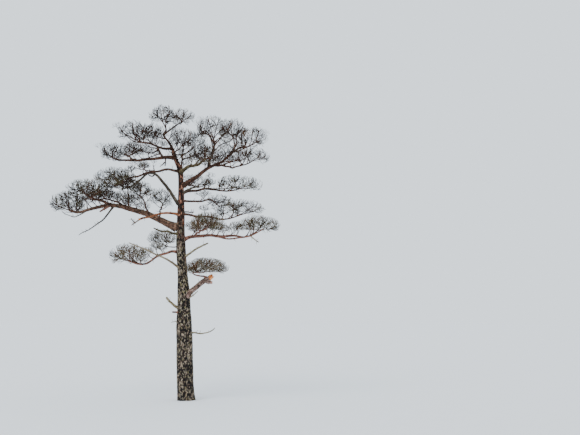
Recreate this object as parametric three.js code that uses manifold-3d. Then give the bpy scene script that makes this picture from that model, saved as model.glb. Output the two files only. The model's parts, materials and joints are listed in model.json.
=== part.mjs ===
// A bare Scots pine that stands alone, 12 m tall: one trunk that runs up to the fork of its top, its boughs
// and dead limbs, and the masses of needleless twigs that they carry. Millimetres, +Z up. The origin is the
// middle of the flat cut under the trunk, at ground level. +X is the view's right, +Y points away from it.
import * as THREE from "three";
import { mergeVertices } from "three/addons/utils/BufferGeometryUtils.js";
import Module from "manifold-3d";

const wasm = await Module();
wasm.setup();

// Faces that touch keep this gap
const TOUCHING_GAP = 0.3;

// The trunk's stations: height, lean to the right, lean to the back, diameter
const TRUNK = [
  [0, 0, 0, 670],
  [350, -20, -10, 670],
  [1000, -50, -20, 650],
  [2200, -90, -30, 640],
  [3100, -125, -20, 610],
  [3550, -135, -10, 540],
  [4350, -165, 0, 490],
  [4800, -195, 10, 420],
  [5400, -240, 30, 400],
  [6000, -290, 60, 388],
  [6600, -315, 80, 350],
  [7400, -315, 100, 310],
  [8050, -320, 120, 260],
  [8900, -340, 140, 215],
  [9300, -385, 150, 225],
  [9700, -550, 150, 190],
  [10200, -720, 120, 130],
  [10450, -870, 100, 105],
  [10730, -1080, 50, 84],
  [10930, -970, 50, 72],
].map(([height, right, back, diameter]) => ({ height, right, back, diameter }));
const TRUNK_HEIGHT = TRUNK[TRUNK.length - 1].height;
const TRUNK_SIDES = 16;
const TRUNK_RING_STEP = 360;

// The root flare dies away upwards, and has shallow lobes over the main roots
const FLARE_RINGS = [60, 160];
const FLARE_HEIGHT = 220;
const FLARE_SHARE = 0.08;
const ROOT_LOBES = 5;
const LOBE_SHARE = 0.035;

// Boughs and dead limbs. Columns: the name; what carries it; where on it, as a height on the trunk or a share
// of the carrying limb; the bearing in degrees from the right towards the back; the level distance to the tip;
// the rise to the tip; the height above a straight line at one third and at two thirds; the first and the last
// diameter.
const LIMBS = [
  ["bough_top_right", "trunk", 10740, 36, 850, 610, [20, 20], [72, 56]],
  ["bough_upper_left", "trunk", 10180, 221, 1250, 20, [-60, -45], [105, 72]],
  ["bough_high_left", "trunk", 9760, 189, 2250, -180, [45, -35], [140, 72]],
  ["bough_high_left_riser", "bough_high_left", 0.24, 112, 1000, 690, [55, 60], [95, 66]],
  ["bough_high_left_back", "bough_high_left", 0.74, 113, 1300, 480, [10, 10], [76, 56]],
  ["bough_mid_left", "trunk", 9250, 219, 2300, -530, [135, 90], [100, 70]],
  ["bough_left_diagonal", "trunk", 7790, 166, 1590, 1260, [260, 450], [135, 86]],
  ["bough_great_left", "trunk", 6840, 178, 3890, 690, [340, 450], [290, 104]],
  ["bough_great_left_side", "bough_great_left", 0.72, 240, 1100, 110, [25, 20], [125, 76]],
  ["bough_great_left_front", "bough_great_left", 0.34, 262, 1450, 480, [20, 15], [76, 48]],
  ["bough_great_left_rear", "bough_great_left", 0.24, 84, 1300, 780, [20, 25], [70, 46]],
  ["bough_great_right", "trunk", 8560, 352, 2260, 1560, [20, -20], [185, 70]],
  ["bough_great_right_upright", "bough_great_right", 0.5, 281, 990, 765, [25, 0], [120, 78]],
  ["bough_great_right_back", "bough_great_right", 0.86, 70, 1130, 870, [-75, -110], [90, 62]],
  ["bough_great_right_low", "bough_great_right", 0.63, 56, 1500, 135, [-20, -25], [94, 66]],
  ["bough_right_lichened", "trunk", 9200, 299, 1880, 220, [40, -45], [155, 84]],
  ["bough_mid_right_rear", "trunk", 8310, 35, 1530, 330, [30, 45], [110, 76]],
  ["bough_mid_right_front", "trunk", 7440, 320, 1710, -250, [0, 20], [98, 70]],
  ["bough_rear_high", "trunk", 8700, 74, 1950, 230, [40, 20], [96, 62]],
  ["bough_rear", "trunk", 7940, 56, 2280, 390, [-5, -10], [95, 62]],
  ["bough_low_right", "trunk", 6330, 8, 2440, 250, [150, 115], [138, 80]],
  ["bough_low_right_front", "bough_low_right", 0.23, 277, 1460, 110, [20, 15], [80, 56]],
  ["bough_low_left", "trunk", 5860, 190, 1270, -385, [155, 155], [112, 76]],
  ["bough_broken", "trunk", 3880, 334, 1140, 970, [120, 110], [215, 190]],
  ["limb_torn_back", "bough_broken", 0.95, 191, 615, 180, [15, -15], [70, 52]],
  ["limb_dead_pale", "trunk", 5170, 215, 2500, 970, [70, 95], [92, 34]],
  ["limb_dead_lichened", "trunk", 5650, 325, 1290, 550, [0, 45], [88, 58]],
  ["limb_dead_arched", "trunk", 7380, 202, 1750, -240, [150, 130], [94, 74]],
  ["limb_dead_drooping", "bough_great_left", 0.69, 208, 1450, -1290, [-225, -125], [72, 24]],
  ["snag_mossy", "trunk", 6590, 226, 1510, 170, [-15, -15], [105, 44]],
].map(limbRow);

// Short broken stubs that are one with the trunk's wood, in the same columns
const STUBS = [
  ["stub_lichened", "trunk", 3470, 191, 740, 610, [-40, -60], [135, 76]],
  ["stub_thin", "trunk", 2620, 6, 1220, 230, [-70, -130], [70, 36]],
  ["stub_dark", "trunk", 8330, 319, 960, 210, [10, 45], [92, 64]],
  ["stub_short", "trunk", 7530, 330, 610, -25, [0, 0], [60, 40]],
  ["stub_reddish", "trunk", 3420, 205, 520, 60, [0, 0], [84, 60]],
].map(limbRow);

function limbRow([name, on, at, bearing, reach, climb, lift, thick]) {
  return { name, on, at, bearing, reach, climb, lift, thick };
}

// How crooked a limb is as a share of its length, in so many half waves, and the collar swelling at its root
const CROOK_SHARE = 0.012;
const CROOK_WAVES = [2, 3, 5];
const COLLAR_SWELL = 0.28;
const COLLAR_SHARE = 0.12;

// A limb's middle line has this many steps. Its solid has a segment for about each step of its reach, within
// limits, and more sides the thicker it is.
const LINE_STEPS = 72;
const LIMB_SEGMENT_STEP = 460;
const LEAST_SEGMENTS = 4;
const MOST_SEGMENTS = 9;
const LIMB_SIDES = [{ above: 200, sides: 10 }, { above: 110, sides: 8 }, { above: 0, sides: 6 }];

// Masses of bare twigs. Columns: the name; the limb whose tip carries it, or the trunk; the height on the
// trunk, or TIP; the bearing from there to the middle of its space; how far ahead and how far above that middle
// is; half the length of the space along its bearing, half its width and half its height; how full it is.
const TIP = null;
const MASSES = [
  ["twigs_top_left", "trunk", TIP, 250, 330, 550, [600, 600, 500], 1],
  ["twigs_top_right", "bough_top_right", TIP, 50, 130, 240, [580, 540, 430], 0.9],
  ["twigs_upper_left", "bough_upper_left", TIP, 225, 700, 250, [720, 700, 560], 1.1],
  ["twigs_upper_left_back", "bough_high_left_riser", TIP, 130, 500, 520, [620, 600, 500], 0.85],
  ["twigs_upper_left_inner", "trunk", 10560, 200, 480, 240, [420, 420, 400], 0.5],
  ["twigs_high_left", "bough_high_left", TIP, 195, 280, 230, [520, 560, 500], 1],
  ["twigs_high_left_back", "bough_high_left_back", TIP, 60, 640, 260, [560, 620, 430], 0.85],
  ["twigs_mid_left", "bough_mid_left", TIP, 210, 760, -230, [860, 760, 560], 1.2],
  ["twigs_mid_left_back", "bough_left_diagonal", TIP, 170, 930, -360, [900, 700, 480], 1.1],
  ["twigs_great_left", "bough_great_left", TIP, 176, 620, 240, [780, 760, 600], 1.2],
  ["twigs_great_left_side", "bough_great_left_side", TIP, 225, 400, 290, [870, 680, 470], 1.15],
  ["twigs_great_left_front", "bough_great_left_front", TIP, 255, 330, 230, [520, 500, 470], 0.8],
  ["twigs_great_left_rear", "bough_great_left_rear", TIP, 105, 410, 330, [540, 480, 450], 0.7],
  ["twigs_great_right", "bough_great_right", TIP, 342, 640, 390, [680, 700, 640], 1.15],
  ["twigs_great_right_upright", "bough_great_right_upright", TIP, 262, 420, 440, [660, 740, 680], 1.2],
  ["twigs_great_right_back", "bough_great_right_back", TIP, 150, 200, 400, [680, 700, 640], 1.15],
  ["twigs_great_right_low", "bough_great_right_low", TIP, 30, 970, 540, [840, 680, 450], 1.1],
  ["twigs_leader_front", "trunk", 10030, 290, 1080, 280, [560, 540, 520], 0.9],
  ["twigs_leader_back", "trunk", 9950, 58, 1560, 820, [600, 620, 520], 0.95],
  ["twigs_right_lichened", "bough_right_lichened", TIP, 270, 600, 0, [700, 760, 520], 1.1],
  ["twigs_mid_right_rear", "bough_mid_right_rear", TIP, 16, 1270, 250, [1080, 720, 450], 1.2],
  ["twigs_mid_right_front", "bough_mid_right_front", TIP, 350, 1060, 300, [1000, 720, 460], 1.15],
  ["twigs_rear_high", "bough_rear_high", TIP, 60, 520, 150, [600, 620, 400], 0.55],
  ["twigs_rear", "bough_rear", TIP, 55, 740, -60, [720, 680, 400], 0.75],
  ["twigs_low_right", "bough_low_right", TIP, 7, 810, 470, [940, 700, 460], 1.1],
  ["twigs_low_right_front", "bough_low_right_front", TIP, 290, 820, 210, [760, 660, 430], 1],
  ["twigs_torn_limb", "limb_torn_back", TIP, 345, 520, 215, [920, 620, 420], 1.1],
  ["twigs_low_left", "bough_low_left", TIP, 200, 840, 190, [820, 680, 540], 1.1],
  ["twigs_low_back", "trunk", 6150, 116, 1900, 420, [680, 640, 430], 0.95],
].map(([name, on, at, bearing, ahead, above, half, full]) => {
  return { name, on, at, bearing, ahead, above, half, full };
});

// The branching rule. At each level so many twigs grow from those before: their first and last radius, how low
// round the space the lowest one ends, how near the skin of the space they end, and their solids' segments.
const LEVELS = [
  { count: 5, radii: [26, 14], lowest: -0.12, depths: [0.74, 0.92], segments: 2 },
  { count: 7, radii: [18, 11], lowest: -0.2, depths: [0.82, 0.97], segments: 2 },
  { count: 7, radii: [13, 9], lowest: -0.25, depths: [0.9, 0.985], segments: 2 },
];
const GOLDEN_TURN = Math.PI * (3 - Math.sqrt(5));
const TWIG_STEPS = 8;
const TWIG_SIDES = 3;
const SHORTEST_TWIG = 120;
const CHILD_SHARE = 0.72;
const END_SHARE = 0.8;

// How a twig bends: its pull along the carrying twig and along its own end, both as shares of its span, and its
// sideways sway. A fork costs more where the twig would turn sharply, and where others fork already.
const LEAVING_PULL = 0.36;
const ARRIVING_PULL = 0.34;
const SWAY_SHARE = 0.16;
const TURN_COST = 1.3;
const CROWD_COST = 0.12;

// A mass's stem: its taper, how far under the middle of the space it ends, and how it is rooted in the trunk
const STEM_TAPER = 0.6;
const STEM_DROP = 0.32;
const STEM_SIDES = 5;
const STEM_SEGMENTS = 3;
const STEM_ROOT_DEPTH = 60;
const TIP_STEM_SHARE = 0.9;
const THIN_STEM_RADIUS = 26;

// What a twig keeps clear of, from its second or third step on: the skin of its space, the other masses'
// spaces, wood, and the other twigs of its own mass
const SPACE_LIMIT = 0.985;
const SPACE_MARGIN = 0.045;
const WOOD_MARGIN = 16;
const WOOD_FREE_STEP = 2;
const TWIG_MARGIN = 8;
const TWIG_FREE_STEP = 3;
const BALLS_PER_STEP = 4;
const TRUNK_BALL_STEP = 60;
const TRUNK_BALL_SHARE = 1.06;
const NEAR_WOOD = 900;

const UP = new THREE.Vector3(0, 0, 1);
const between = (low, high, share) => low + (high - low) * share;
const radians = (degrees) => degrees * Math.PI / 180;
const headingOf = (bearing) => new THREE.Vector3(1, 0, 0).applyAxisAngle(UP, radians(bearing));

// Seeded draws from 0 to 1, by a plain congruential rule that any language can repeat exactly
function seededDraws(seed) {
  let state = Math.imul(seed + 1, 2654435761) >>> 0;
  return () => {
    state = (Math.imul(state, 1664525) + 1013904223) >>> 0;
    return state / 4294967296;
  };
}

// The trunk's middle and radius at a height, on a smooth curve through its stations
function trunkAt(height) {
  let k = 0;
  while (k < TRUNK.length - 2 && TRUNK[k + 1].height < height) k += 1;
  const before = TRUNK[Math.max(k - 1, 0)];
  const low = TRUNK[k];
  const high = TRUNK[k + 1];
  const after = TRUNK[Math.min(k + 2, TRUNK.length - 1)];
  const span = high.height - low.height;
  const t = (height - low.height) / span;
  const smooth = (key) => {
    const start = span * (high[key] - before[key]) / (high.height - before.height);
    const end = span * (after[key] - low[key]) / (after.height - low.height);
    const straight = between(low[key], high[key], t * t * (3 - 2 * t));
    return straight + t * (1 - t) * ((1 - t) * start - t * end);
  };
  const middle = new THREE.Vector3(smooth("right"), smooth("back"), height);
  return { middle, radius: smooth("diameter") / 2 };
}

// A limb's middle line from its root to its tip: a cubic through its two lifts, made a little crooked
function limbLine(limb, root, seed) {
  const draw = seededDraws(seed);
  const heading = headingOf(limb.bearing);
  const side = new THREE.Vector3().crossVectors(UP, heading);
  const tip = root.clone().addScaledVector(heading, limb.reach).addScaledVector(UP, limb.climb);
  const near = 9 * limb.lift[0] - 4.5 * limb.lift[1];
  const far = 9 * limb.lift[1] - 4.5 * limb.lift[0];
  const crook = root.distanceTo(tip) * CROOK_SHARE;
  const waves = CROOK_WAVES.map((turns) => ({ turns, over: draw() - 0.5, across: draw() - 0.5 }));
  return Array.from({ length: LINE_STEPS + 1 }, (_, k) => {
    const t = k / LINE_STEPS;
    const point = root.clone().lerp(tip, t);
    point.addScaledVector(UP, t * (1 - t) * ((1 - t) * near + t * far));
    waves.forEach(({ turns, over, across }) => {
      const wave = 4 * crook * Math.sin(turns * Math.PI * t) / Math.sqrt(turns);
      point.addScaledVector(UP, over * wave).addScaledVector(side, across * wave);
    });
    return point;
  });
}

// The direction of a line of points at one of them
function directionAt(points, k) {
  const before = points[Math.max(k - 1, 0)];
  const after = points[Math.min(k + 1, points.length - 1)];
  return after.clone().sub(before).normalize();
}

// A limb tapers evenly from the collar where it leaves its carrier
function limbRadius(limb, t) {
  const collar = 1 + COLLAR_SWELL * Math.exp(-t / COLLAR_SHARE);
  return between(limb.thick[0], limb.thick[1], t) / 2 * collar;
}

function solidOf(positions, faces) {
  const geometry = new THREE.BufferGeometry();
  geometry.setAttribute("position", new THREE.Float32BufferAttribute(positions.flat(), 3));
  geometry.setIndex(faces.flat());
  const merged = mergeVertices(geometry);
  const vertProperties = merged.attributes.position.array;
  const triVerts = new Uint32Array(merged.index.array);
  return new wasm.Manifold(new wasm.Mesh({ numProp: 3, vertProperties, triVerts }));
}

// The side faces between each two rings of a tube. The last ring is a single point where the tube is pointed.
function sideFaces(rings, sides, pointed) {
  const faces = [];
  for (let k = 0; k < rings - 1; k += 1) {
    for (let j = 0; j < sides; j += 1) {
      const a = k * sides + j;
      const b = k * sides + (j + 1) % sides;
      if (pointed && k === rings - 2) faces.push([a, b, (k + 1) * sides]);
      else faces.push([a, b, b + sides], [a, b + sides, a + sides]);
    }
  }
  return faces;
}

// The flat end of a tube on the ring that begins with a certain corner
function endFaces(first, sides, facesBack) {
  return Array.from({ length: sides - 2 }, (_, j) => {
    return facesBack ? [first, first + j + 2, first + j + 1] : [first, first + j + 1, first + j + 2];
  });
}

// A closed tube of rings along a line of points. A last radius of 0 ends it in a point.
function tube(points, directions, radii, sides) {
  const positions = [];
  const across = new THREE.Vector3(1, 0, 0);
  if (Math.abs(directions[0].x) > 0.8) across.set(0, 1, 0);
  points.forEach((point, k) => {
    const along = directions[k];
    across.addScaledVector(along, -across.dot(along)).normalize();
    const other = new THREE.Vector3().crossVectors(along, across);
    const corners = radii[k] === 0 ? 1 : sides;
    for (let j = 0; j < corners; j += 1) {
      const angle = 2 * Math.PI * j / sides;
      const corner = point.clone().addScaledVector(across, radii[k] * Math.cos(angle));
      positions.push(corner.addScaledVector(other, radii[k] * Math.sin(angle)).toArray());
    }
  });
  const pointed = radii[radii.length - 1] === 0;
  const faces = [...endFaces(0, sides, true), ...sideFaces(points.length, sides, pointed)];
  if (!pointed) faces.push(...endFaces((points.length - 1) * sides, sides, false));
  return solidOf(positions, faces);
}

// The trunk from the flat cut to its tip. extra makes it fatter, to cut its neighbours clear of it.
function trunkSolid(extra = 0) {
  const segments = Math.round(TRUNK_HEIGHT / TRUNK_RING_STEP);
  const heights = Array.from({ length: segments + 1 }, (_, k) => TRUNK_HEIGHT * k / segments);
  heights.splice(1, 0, ...FLARE_RINGS);
  const positions = heights.map(trunkAt).flatMap(({ middle, radius }) => {
    const fade = Math.exp(-middle.z / FLARE_HEIGHT);
    return Array.from({ length: TRUNK_SIDES }, (_, j) => {
      const angle = 2 * Math.PI * j / TRUNK_SIDES;
      const flare = 1 + fade * (FLARE_SHARE + LOBE_SHARE * Math.cos(ROOT_LOBES * angle));
      const out = radius * flare + extra;
      return [middle.x + out * Math.cos(angle), middle.y + out * Math.sin(angle), middle.z];
    });
  });
  const last = (heights.length - 1) * TRUNK_SIDES;
  const ends = [...endFaces(0, TRUNK_SIDES, true), ...endFaces(last, TRUNK_SIDES, false)];
  return solidOf(positions, [...ends, ...sideFaces(heights.length, TRUNK_SIDES, false)]);
}

// A limb's solid. extra makes it fatter all over, to cut its neighbours clear of it.
function limbSolid(limb, line, extra = 0) {
  const wanted = Math.round(limb.reach / LIMB_SEGMENT_STEP) + 2;
  const segments = Math.max(LEAST_SEGMENTS, Math.min(MOST_SEGMENTS, wanted));
  const picked = Array.from({ length: segments + 1 }, (_, k) => Math.round(LINE_STEPS * k / segments));
  const points = picked.map((k) => line[k].clone());
  const directions = picked.map((k) => directionAt(line, k));
  const radii = picked.map((k) => limbRadius(limb, k / LINE_STEPS) + extra);
  points[segments].addScaledVector(directions[segments], extra);
  const { sides } = LIMB_SIDES.find(({ above }) => limb.thick[0] > above);
  return tube(points, directions, radii, sides);
}

// The largest single body of a solid, without loose scraps
function mainBody(solid) {
  return solid.decompose().reduce((best, piece) => (piece.volume() > best.volume() ? piece : best));
}

const lines = new Map();
[...LIMBS, ...STUBS].forEach((limb, seed) => {
  const carrier = lines.get(limb.on);
  const root = carrier ? carrier[Math.round(limb.at * LINE_STEPS)] : trunkAt(limb.at).middle;
  lines.set(limb.name, limbLine(limb, root, seed));
});

// Balls along the trunk, the limbs and the stubs, for the twigs to keep clear of
const wood = [];
for (let height = 0; height <= TRUNK_HEIGHT; height += TRUNK_BALL_STEP) {
  const { middle, radius } = trunkAt(height);
  wood.push({ middle, radius: radius * TRUNK_BALL_SHARE });
}
[...LIMBS, ...STUBS].forEach((limb) => lines.get(limb.name).forEach((middle, k) => {
  wood.push({ middle, radius: limbRadius(limb, k / LINE_STEPS) });
}));

// Where a mass's stem begins, in which direction it leaves, and its radius there
function stemRoot(mass) {
  if (mass.on !== "trunk") {
    const line = lines.get(mass.on);
    const lead = directionAt(line, LINE_STEPS);
    const foot = line[LINE_STEPS].clone().addScaledVector(lead, TOUCHING_GAP);
    return { foot, lead, girth: limbRadius(LIMBS.find((limb) => limb.name === mass.on), 1) };
  }
  if (mass.at !== TIP) {
    return { foot: trunkAt(mass.at).middle, lead: headingOf(mass.bearing), girth: THIN_STEM_RADIUS };
  }
  const { middle, radius } = trunkAt(TRUNK_HEIGHT);
  const foot = trunkAt(TRUNK_HEIGHT - STEM_ROOT_DEPTH).middle;
  return { foot, lead: middle.sub(foot).normalize(), girth: radius * TIP_STEM_SHARE };
}

// The oval space that a mass keeps to
const spaces = MASSES.map((mass) => {
  const root = stemRoot(mass);
  const heading = headingOf(mass.bearing);
  const side = new THREE.Vector3().crossVectors(UP, heading);
  const middle = root.foot.clone().addScaledVector(heading, mass.ahead).addScaledVector(UP, mass.above);
  return { ...mass, ...root, middle, axes: [heading, side, UP] };
});

// How far out a point lies in a space: 0 in its middle, 1 on its skin
function depthIn(space, point) {
  const offset = point.clone().sub(space.middle);
  return Math.hypot(...space.axes.map((axis, k) => offset.dot(axis) / space.half[k]));
}

// Whether a point lies deeper in a space than in any other mass's, with a margin between the two
function isOwn(space, point) {
  const depth = depthIn(space, point);
  return spaces.every((other) => other === space || depth + SPACE_MARGIN < depthIn(other, point));
}

// A bent line between two points that leaves along one direction and arrives along another
function bentLine(start, lead, end, finish, sway) {
  const span = start.distanceTo(end);
  const near = start.clone().addScaledVector(lead, LEAVING_PULL * span).add(sway);
  const far = end.clone().addScaledVector(finish, -ARRIVING_PULL * span).sub(sway);
  return new THREE.CubicBezierCurve3(start, near, far, end).getPoints(TWIG_STEPS);
}

// Balls set closely along a line of points, each with the step that it lies on
function ballsAlong(points, radii) {
  return points.slice(1).flatMap((point, k) => Array.from({ length: BALLS_PER_STEP }, (_, j) => {
    const t = j / BALLS_PER_STEP;
    return { middle: points[k].clone().lerp(point, t), radius: between(radii[k], radii[k + 1], t), step: k };
  }));
}

// A twig along a line of points, tapering evenly, with the number of twigs that fork from it at each point
function twigAlong(points, lead, firstRadius, lastRadius) {
  const directions = points.map((_, k) => (k === 0 ? lead : directionAt(points, k)));
  const radii = points.map((_, k) => between(firstRadius, lastRadius, k / TWIG_STEPS));
  return { points, directions, radii, forks: points.map(() => 0), balls: ballsAlong(points, radii) };
}

// Each mass starts with one stem, which runs from its root to a little below the middle of its space
const stems = spaces.map(({ foot, lead, girth, middle, half }) => {
  const end = middle.clone().addScaledVector(UP, -STEM_DROP * half[2]);
  const finish = end.clone().sub(foot).normalize().addScaledVector(UP, 0.5).normalize();
  const points = bentLine(foot, lead, end, finish, new THREE.Vector3());
  return twigAlong(points, lead, girth, girth * STEM_TAPER);
});

// Whether the balls from a certain step on stay clear of others
function areClear(balls, step, others, margin) {
  return balls.every((ball) => ball.step < step || others.every((other) => {
    const reach = ball.radius + other.radius + margin;
    return ball.middle.distanceToSquared(other.middle) > reach * reach;
  }));
}

// The point on the twigs so far from which an end is best reached: near it, and without a sharp turn
function bestFork(twigs, end) {
  let best = { cost: Infinity };
  twigs.forEach((twig) => {
    for (let k = 2; k < TWIG_STEPS; k += 1) {
      const chord = end.clone().sub(twig.points[k]);
      const span = chord.length();
      chord.divideScalar(span);
      const turn = 1 - chord.dot(twig.directions[k]);
      const cost = span * (1 + TURN_COST * turn) * (1 + CROWD_COST * twig.forks[k]);
      if (span > SHORTEST_TWIG && cost < best.cost) best = { twig, k, cost, chord, span };
    }
  });
  return best;
}

// The end of one of a level's twigs, near the skin of the space, and the direction in which it points there.
// The ends go round the space by the golden turn and rise evenly, each a little off by its draws.
function twigEnd(space, level, k, count, turn, draw) {
  const rise = between(level.lowest, 1, (k + 0.2 + 0.6 * draw()) / count);
  const angle = turn + k * GOLDEN_TURN + 0.5 * (draw() - 0.5);
  const depth = between(level.depths[0], level.depths[1], draw());
  const round = Math.sqrt(1 - rise * rise);
  const outward = new THREE.Vector3();
  [round * Math.cos(angle), round * Math.sin(angle), rise].forEach((share, axis) => {
    outward.addScaledVector(space.axes[axis], share * space.half[axis]);
  });
  const end = space.middle.clone().addScaledVector(outward, depth);
  return { end, finish: outward.normalize().multiplyScalar(0.7).addScaledVector(UP, 0.75).normalize() };
}

// A twig from its fork to its end. Wherever it would leave its space it is pulled back in.
function grownTwig(space, level, fork, { end, finish }, sway) {
  const lead = fork.twig.directions[fork.k].clone().multiplyScalar(0.6);
  lead.addScaledVector(fork.chord, 0.55).normalize();
  const aside = new THREE.Vector3().crossVectors(fork.chord, UP);
  const swing = aside.multiplyScalar(SWAY_SHARE * sway * fork.span);
  const points = bentLine(fork.twig.points[fork.k], lead, end, finish, swing);
  points.slice(1).forEach((point) => {
    const depth = depthIn(space, point);
    if (depth > SPACE_LIMIT) point.lerp(space.middle, 1 - SPACE_LIMIT / depth);
  });
  const first = Math.min(level.radii[0], CHILD_SHARE * fork.twig.radii[fork.k]);
  return twigAlong(points, lead, first, Math.min(level.radii[1], END_SHARE * first));
}

// All twigs of a mass, level by level. One that would leave its space or touch anything is skipped.
function growTwigs(space, index) {
  const draw = seededDraws(1000 + index);
  const near = space.ahead + Math.max(...space.half) + NEAR_WOOD;
  const nearWood = wood.filter((ball) => ball.middle.distanceTo(space.middle) < near + ball.radius);
  stems.forEach((stem, k) => {
    if (k !== index) nearWood.push(...stem.balls);
  });
  const twigs = [{ ...stems[index], segments: STEM_SEGMENTS }];
  LEVELS.forEach((level) => {
    const count = Math.round(level.count * space.full);
    const turn = 2 * Math.PI * draw();
    const carriers = twigs.slice();
    for (let k = 0; k < count; k += 1) {
      const goal = twigEnd(space, level, k, count, turn, draw);
      const sway = draw() - 0.5;
      const fork = bestFork(carriers, goal.end);
      const twig = grownTwig(space, level, fork, goal, sway);
      const others = twigs.filter((other) => other !== fork.twig).flatMap((other) => other.balls);
      if (twig.points.slice(TWIG_FREE_STEP).every((point) => isOwn(space, point))
        && areClear(twig.balls, WOOD_FREE_STEP, nearWood, WOOD_MARGIN)
        && areClear(twig.balls, TWIG_FREE_STEP, others, TWIG_MARGIN)) {
        fork.twig.forks[fork.k] += 1;
        twigs.push({ ...twig, segments: level.segments });
      }
    }
  });
  return twigs;
}

// A twig's solid has a few segments and ends in a point. Only the stem has more sides and a blunt end.
function twigSolid(twig, index) {
  const { segments } = twig;
  const picked = Array.from({ length: segments + 1 }, (_, k) => Math.round(TWIG_STEPS * k / segments));
  const radii = picked.map((k) => twig.radii[k]);
  if (index > 0) radii[segments] = 0;
  const points = picked.map((k) => twig.points[k]);
  const directions = picked.map((k) => twig.directions[k]);
  return tube(points, directions, radii, index > 0 ? TWIG_SIDES : STEM_SIDES);
}

const FINISHES = {
  trunk: { color: 0x5a4c43, roughness: 0.95 },
  bough: { color: 0x6b4636, roughness: 0.9 },
  dead: { color: 0x8d8069, roughness: 0.9 },
  twigs: { color: 0x55493f, roughness: 0.95 },
};
const tree = new THREE.Group();

function addNode(name, solid, finish) {
  const { vertProperties, triVerts } = mainBody(solid).getMesh();
  const geometry = new THREE.BufferGeometry();
  geometry.setAttribute("position", new THREE.BufferAttribute(new Float32Array(vertProperties), 3));
  geometry.setIndex(new THREE.BufferAttribute(new Uint32Array(triVerts), 1));
  geometry.computeVertexNormals();
  const material = new THREE.MeshStandardMaterial({ metalness: 0, ...FINISHES[finish] });
  const mesh = new THREE.Mesh(geometry, material);
  mesh.name = name;
  tree.add(mesh);
}

const fatTrunk = trunkSolid(TOUCHING_GAP);
const stubSolids = STUBS.map((stub) => limbSolid(stub, lines.get(stub.name)));
addNode("trunk", wasm.Manifold.union([trunkSolid(), ...stubSolids]), "trunk");

LIMBS.forEach((limb) => {
  const carrier = LIMBS.find((other) => other.name === limb.on);
  const cutter = carrier ? limbSolid(carrier, lines.get(carrier.name), TOUCHING_GAP) : fatTrunk;
  const isDead = limb.name.includes("dead") || limb.name.includes("snag");
  addNode(limb.name, limbSolid(limb, lines.get(limb.name)).subtract(cutter), isDead ? "dead" : "bough");
});

spaces.forEach((space, index) => {
  const twigs = wasm.Manifold.union(growTwigs(space, index).map(twigSolid));
  addNode(space.name, space.on === "trunk" ? twigs.subtract(fatTrunk) : twigs, "twigs");
});

export default tree;
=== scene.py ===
"""The looks of a lone Scots pine without needles, 12 m tall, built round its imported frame.

Lengths are in millimetres, and turn into metres where a mesh is made. +Z is up, +X is the view's right and
+Y points away from it. The origin is the middle of the flat cut under the trunk.
"""
import json
import math
from collections import namedtuple

import bpy
import numpy as np
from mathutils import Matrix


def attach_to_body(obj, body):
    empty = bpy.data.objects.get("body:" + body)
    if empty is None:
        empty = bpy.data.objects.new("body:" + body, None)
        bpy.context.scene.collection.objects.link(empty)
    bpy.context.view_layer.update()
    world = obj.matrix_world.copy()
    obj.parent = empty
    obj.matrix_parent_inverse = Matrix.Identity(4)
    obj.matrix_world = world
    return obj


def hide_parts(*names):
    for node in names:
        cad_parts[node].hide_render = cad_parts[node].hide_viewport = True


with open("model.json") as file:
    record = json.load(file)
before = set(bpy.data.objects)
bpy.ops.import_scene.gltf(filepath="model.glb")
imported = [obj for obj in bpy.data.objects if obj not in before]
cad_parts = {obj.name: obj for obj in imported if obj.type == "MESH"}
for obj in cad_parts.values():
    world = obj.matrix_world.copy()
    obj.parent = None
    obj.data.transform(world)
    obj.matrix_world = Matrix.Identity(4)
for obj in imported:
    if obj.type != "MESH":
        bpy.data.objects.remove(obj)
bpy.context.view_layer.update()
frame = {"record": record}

BODY = "root"
METRES = 0.001
UP = np.array([0.0, 0.0, 1.0])
EAST = np.array([1.0, 0.0, 0.0])
NORTH = np.array([0.0, 1.0, 0.0])
GOLDEN_TURN = math.pi * (3 - math.sqrt(5))

# The camera: its place in metres, how far it turns right and looks up, and the photograph's focal length
CAMERA_PLACE = (0.0, -32.59, 3.6)
CAMERA_RIGHT_DEG = 7.293
CAMERA_UP_DEG = 6.543
PHOTO_WIDTH = 580
SENSOR_WIDTH = 36
FOCAL_PIXELS = 797
FAR_CLIP = 1000

# The overcast sky with a broad soft sun in it, and the floor, in metres
SKY_COLOUR = (0.74, 0.82, 0.89, 1)
SKY_STRENGTH = 1.8
SUN_STRENGTH = 2.4
SUN_SPREAD_DEG = 50
SUN_LEAN_DEG = 48
SUN_TURN_DEG = -35
FLOOR_RADIUS = 180
FLOOR_DROP = 0.002
FLOOR_SIDES = 96
FLOOR_SHADES = ((0.71, 0.73, 0.75, 1), (0.73, 0.75, 0.77, 1))

# The trunk's stations: height, lean to the right, lean to the back, diameter
TRUNK = np.array([
    [0, 0, 0, 670],
    [350, -20, -10, 670],
    [1000, -50, -20, 650],
    [2200, -90, -30, 640],
    [3100, -125, -20, 610],
    [3550, -135, -10, 540],
    [4350, -165, 0, 490],
    [4800, -195, 10, 420],
    [5400, -240, 30, 400],
    [6000, -290, 60, 388],
    [6600, -315, 80, 350],
    [7400, -315, 100, 310],
    [8050, -320, 120, 260],
    [8900, -340, 140, 215],
    [9300, -385, 150, 225],
    [9700, -550, 150, 190],
    [10200, -720, 120, 130],
    [10450, -870, 100, 105],
    [10730, -1080, 50, 84],
    [10930, -970, 50, 72],
], dtype=float)
TRUNK_HEIGHT = TRUNK[-1, 0]
FLARE_HEIGHT = 220
FLARE_SHARE = 0.08
ROOT_LOBES = 5
LOBE_SHARE = 0.035
TRUNK_LOOK_AHEAD = 10

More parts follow.
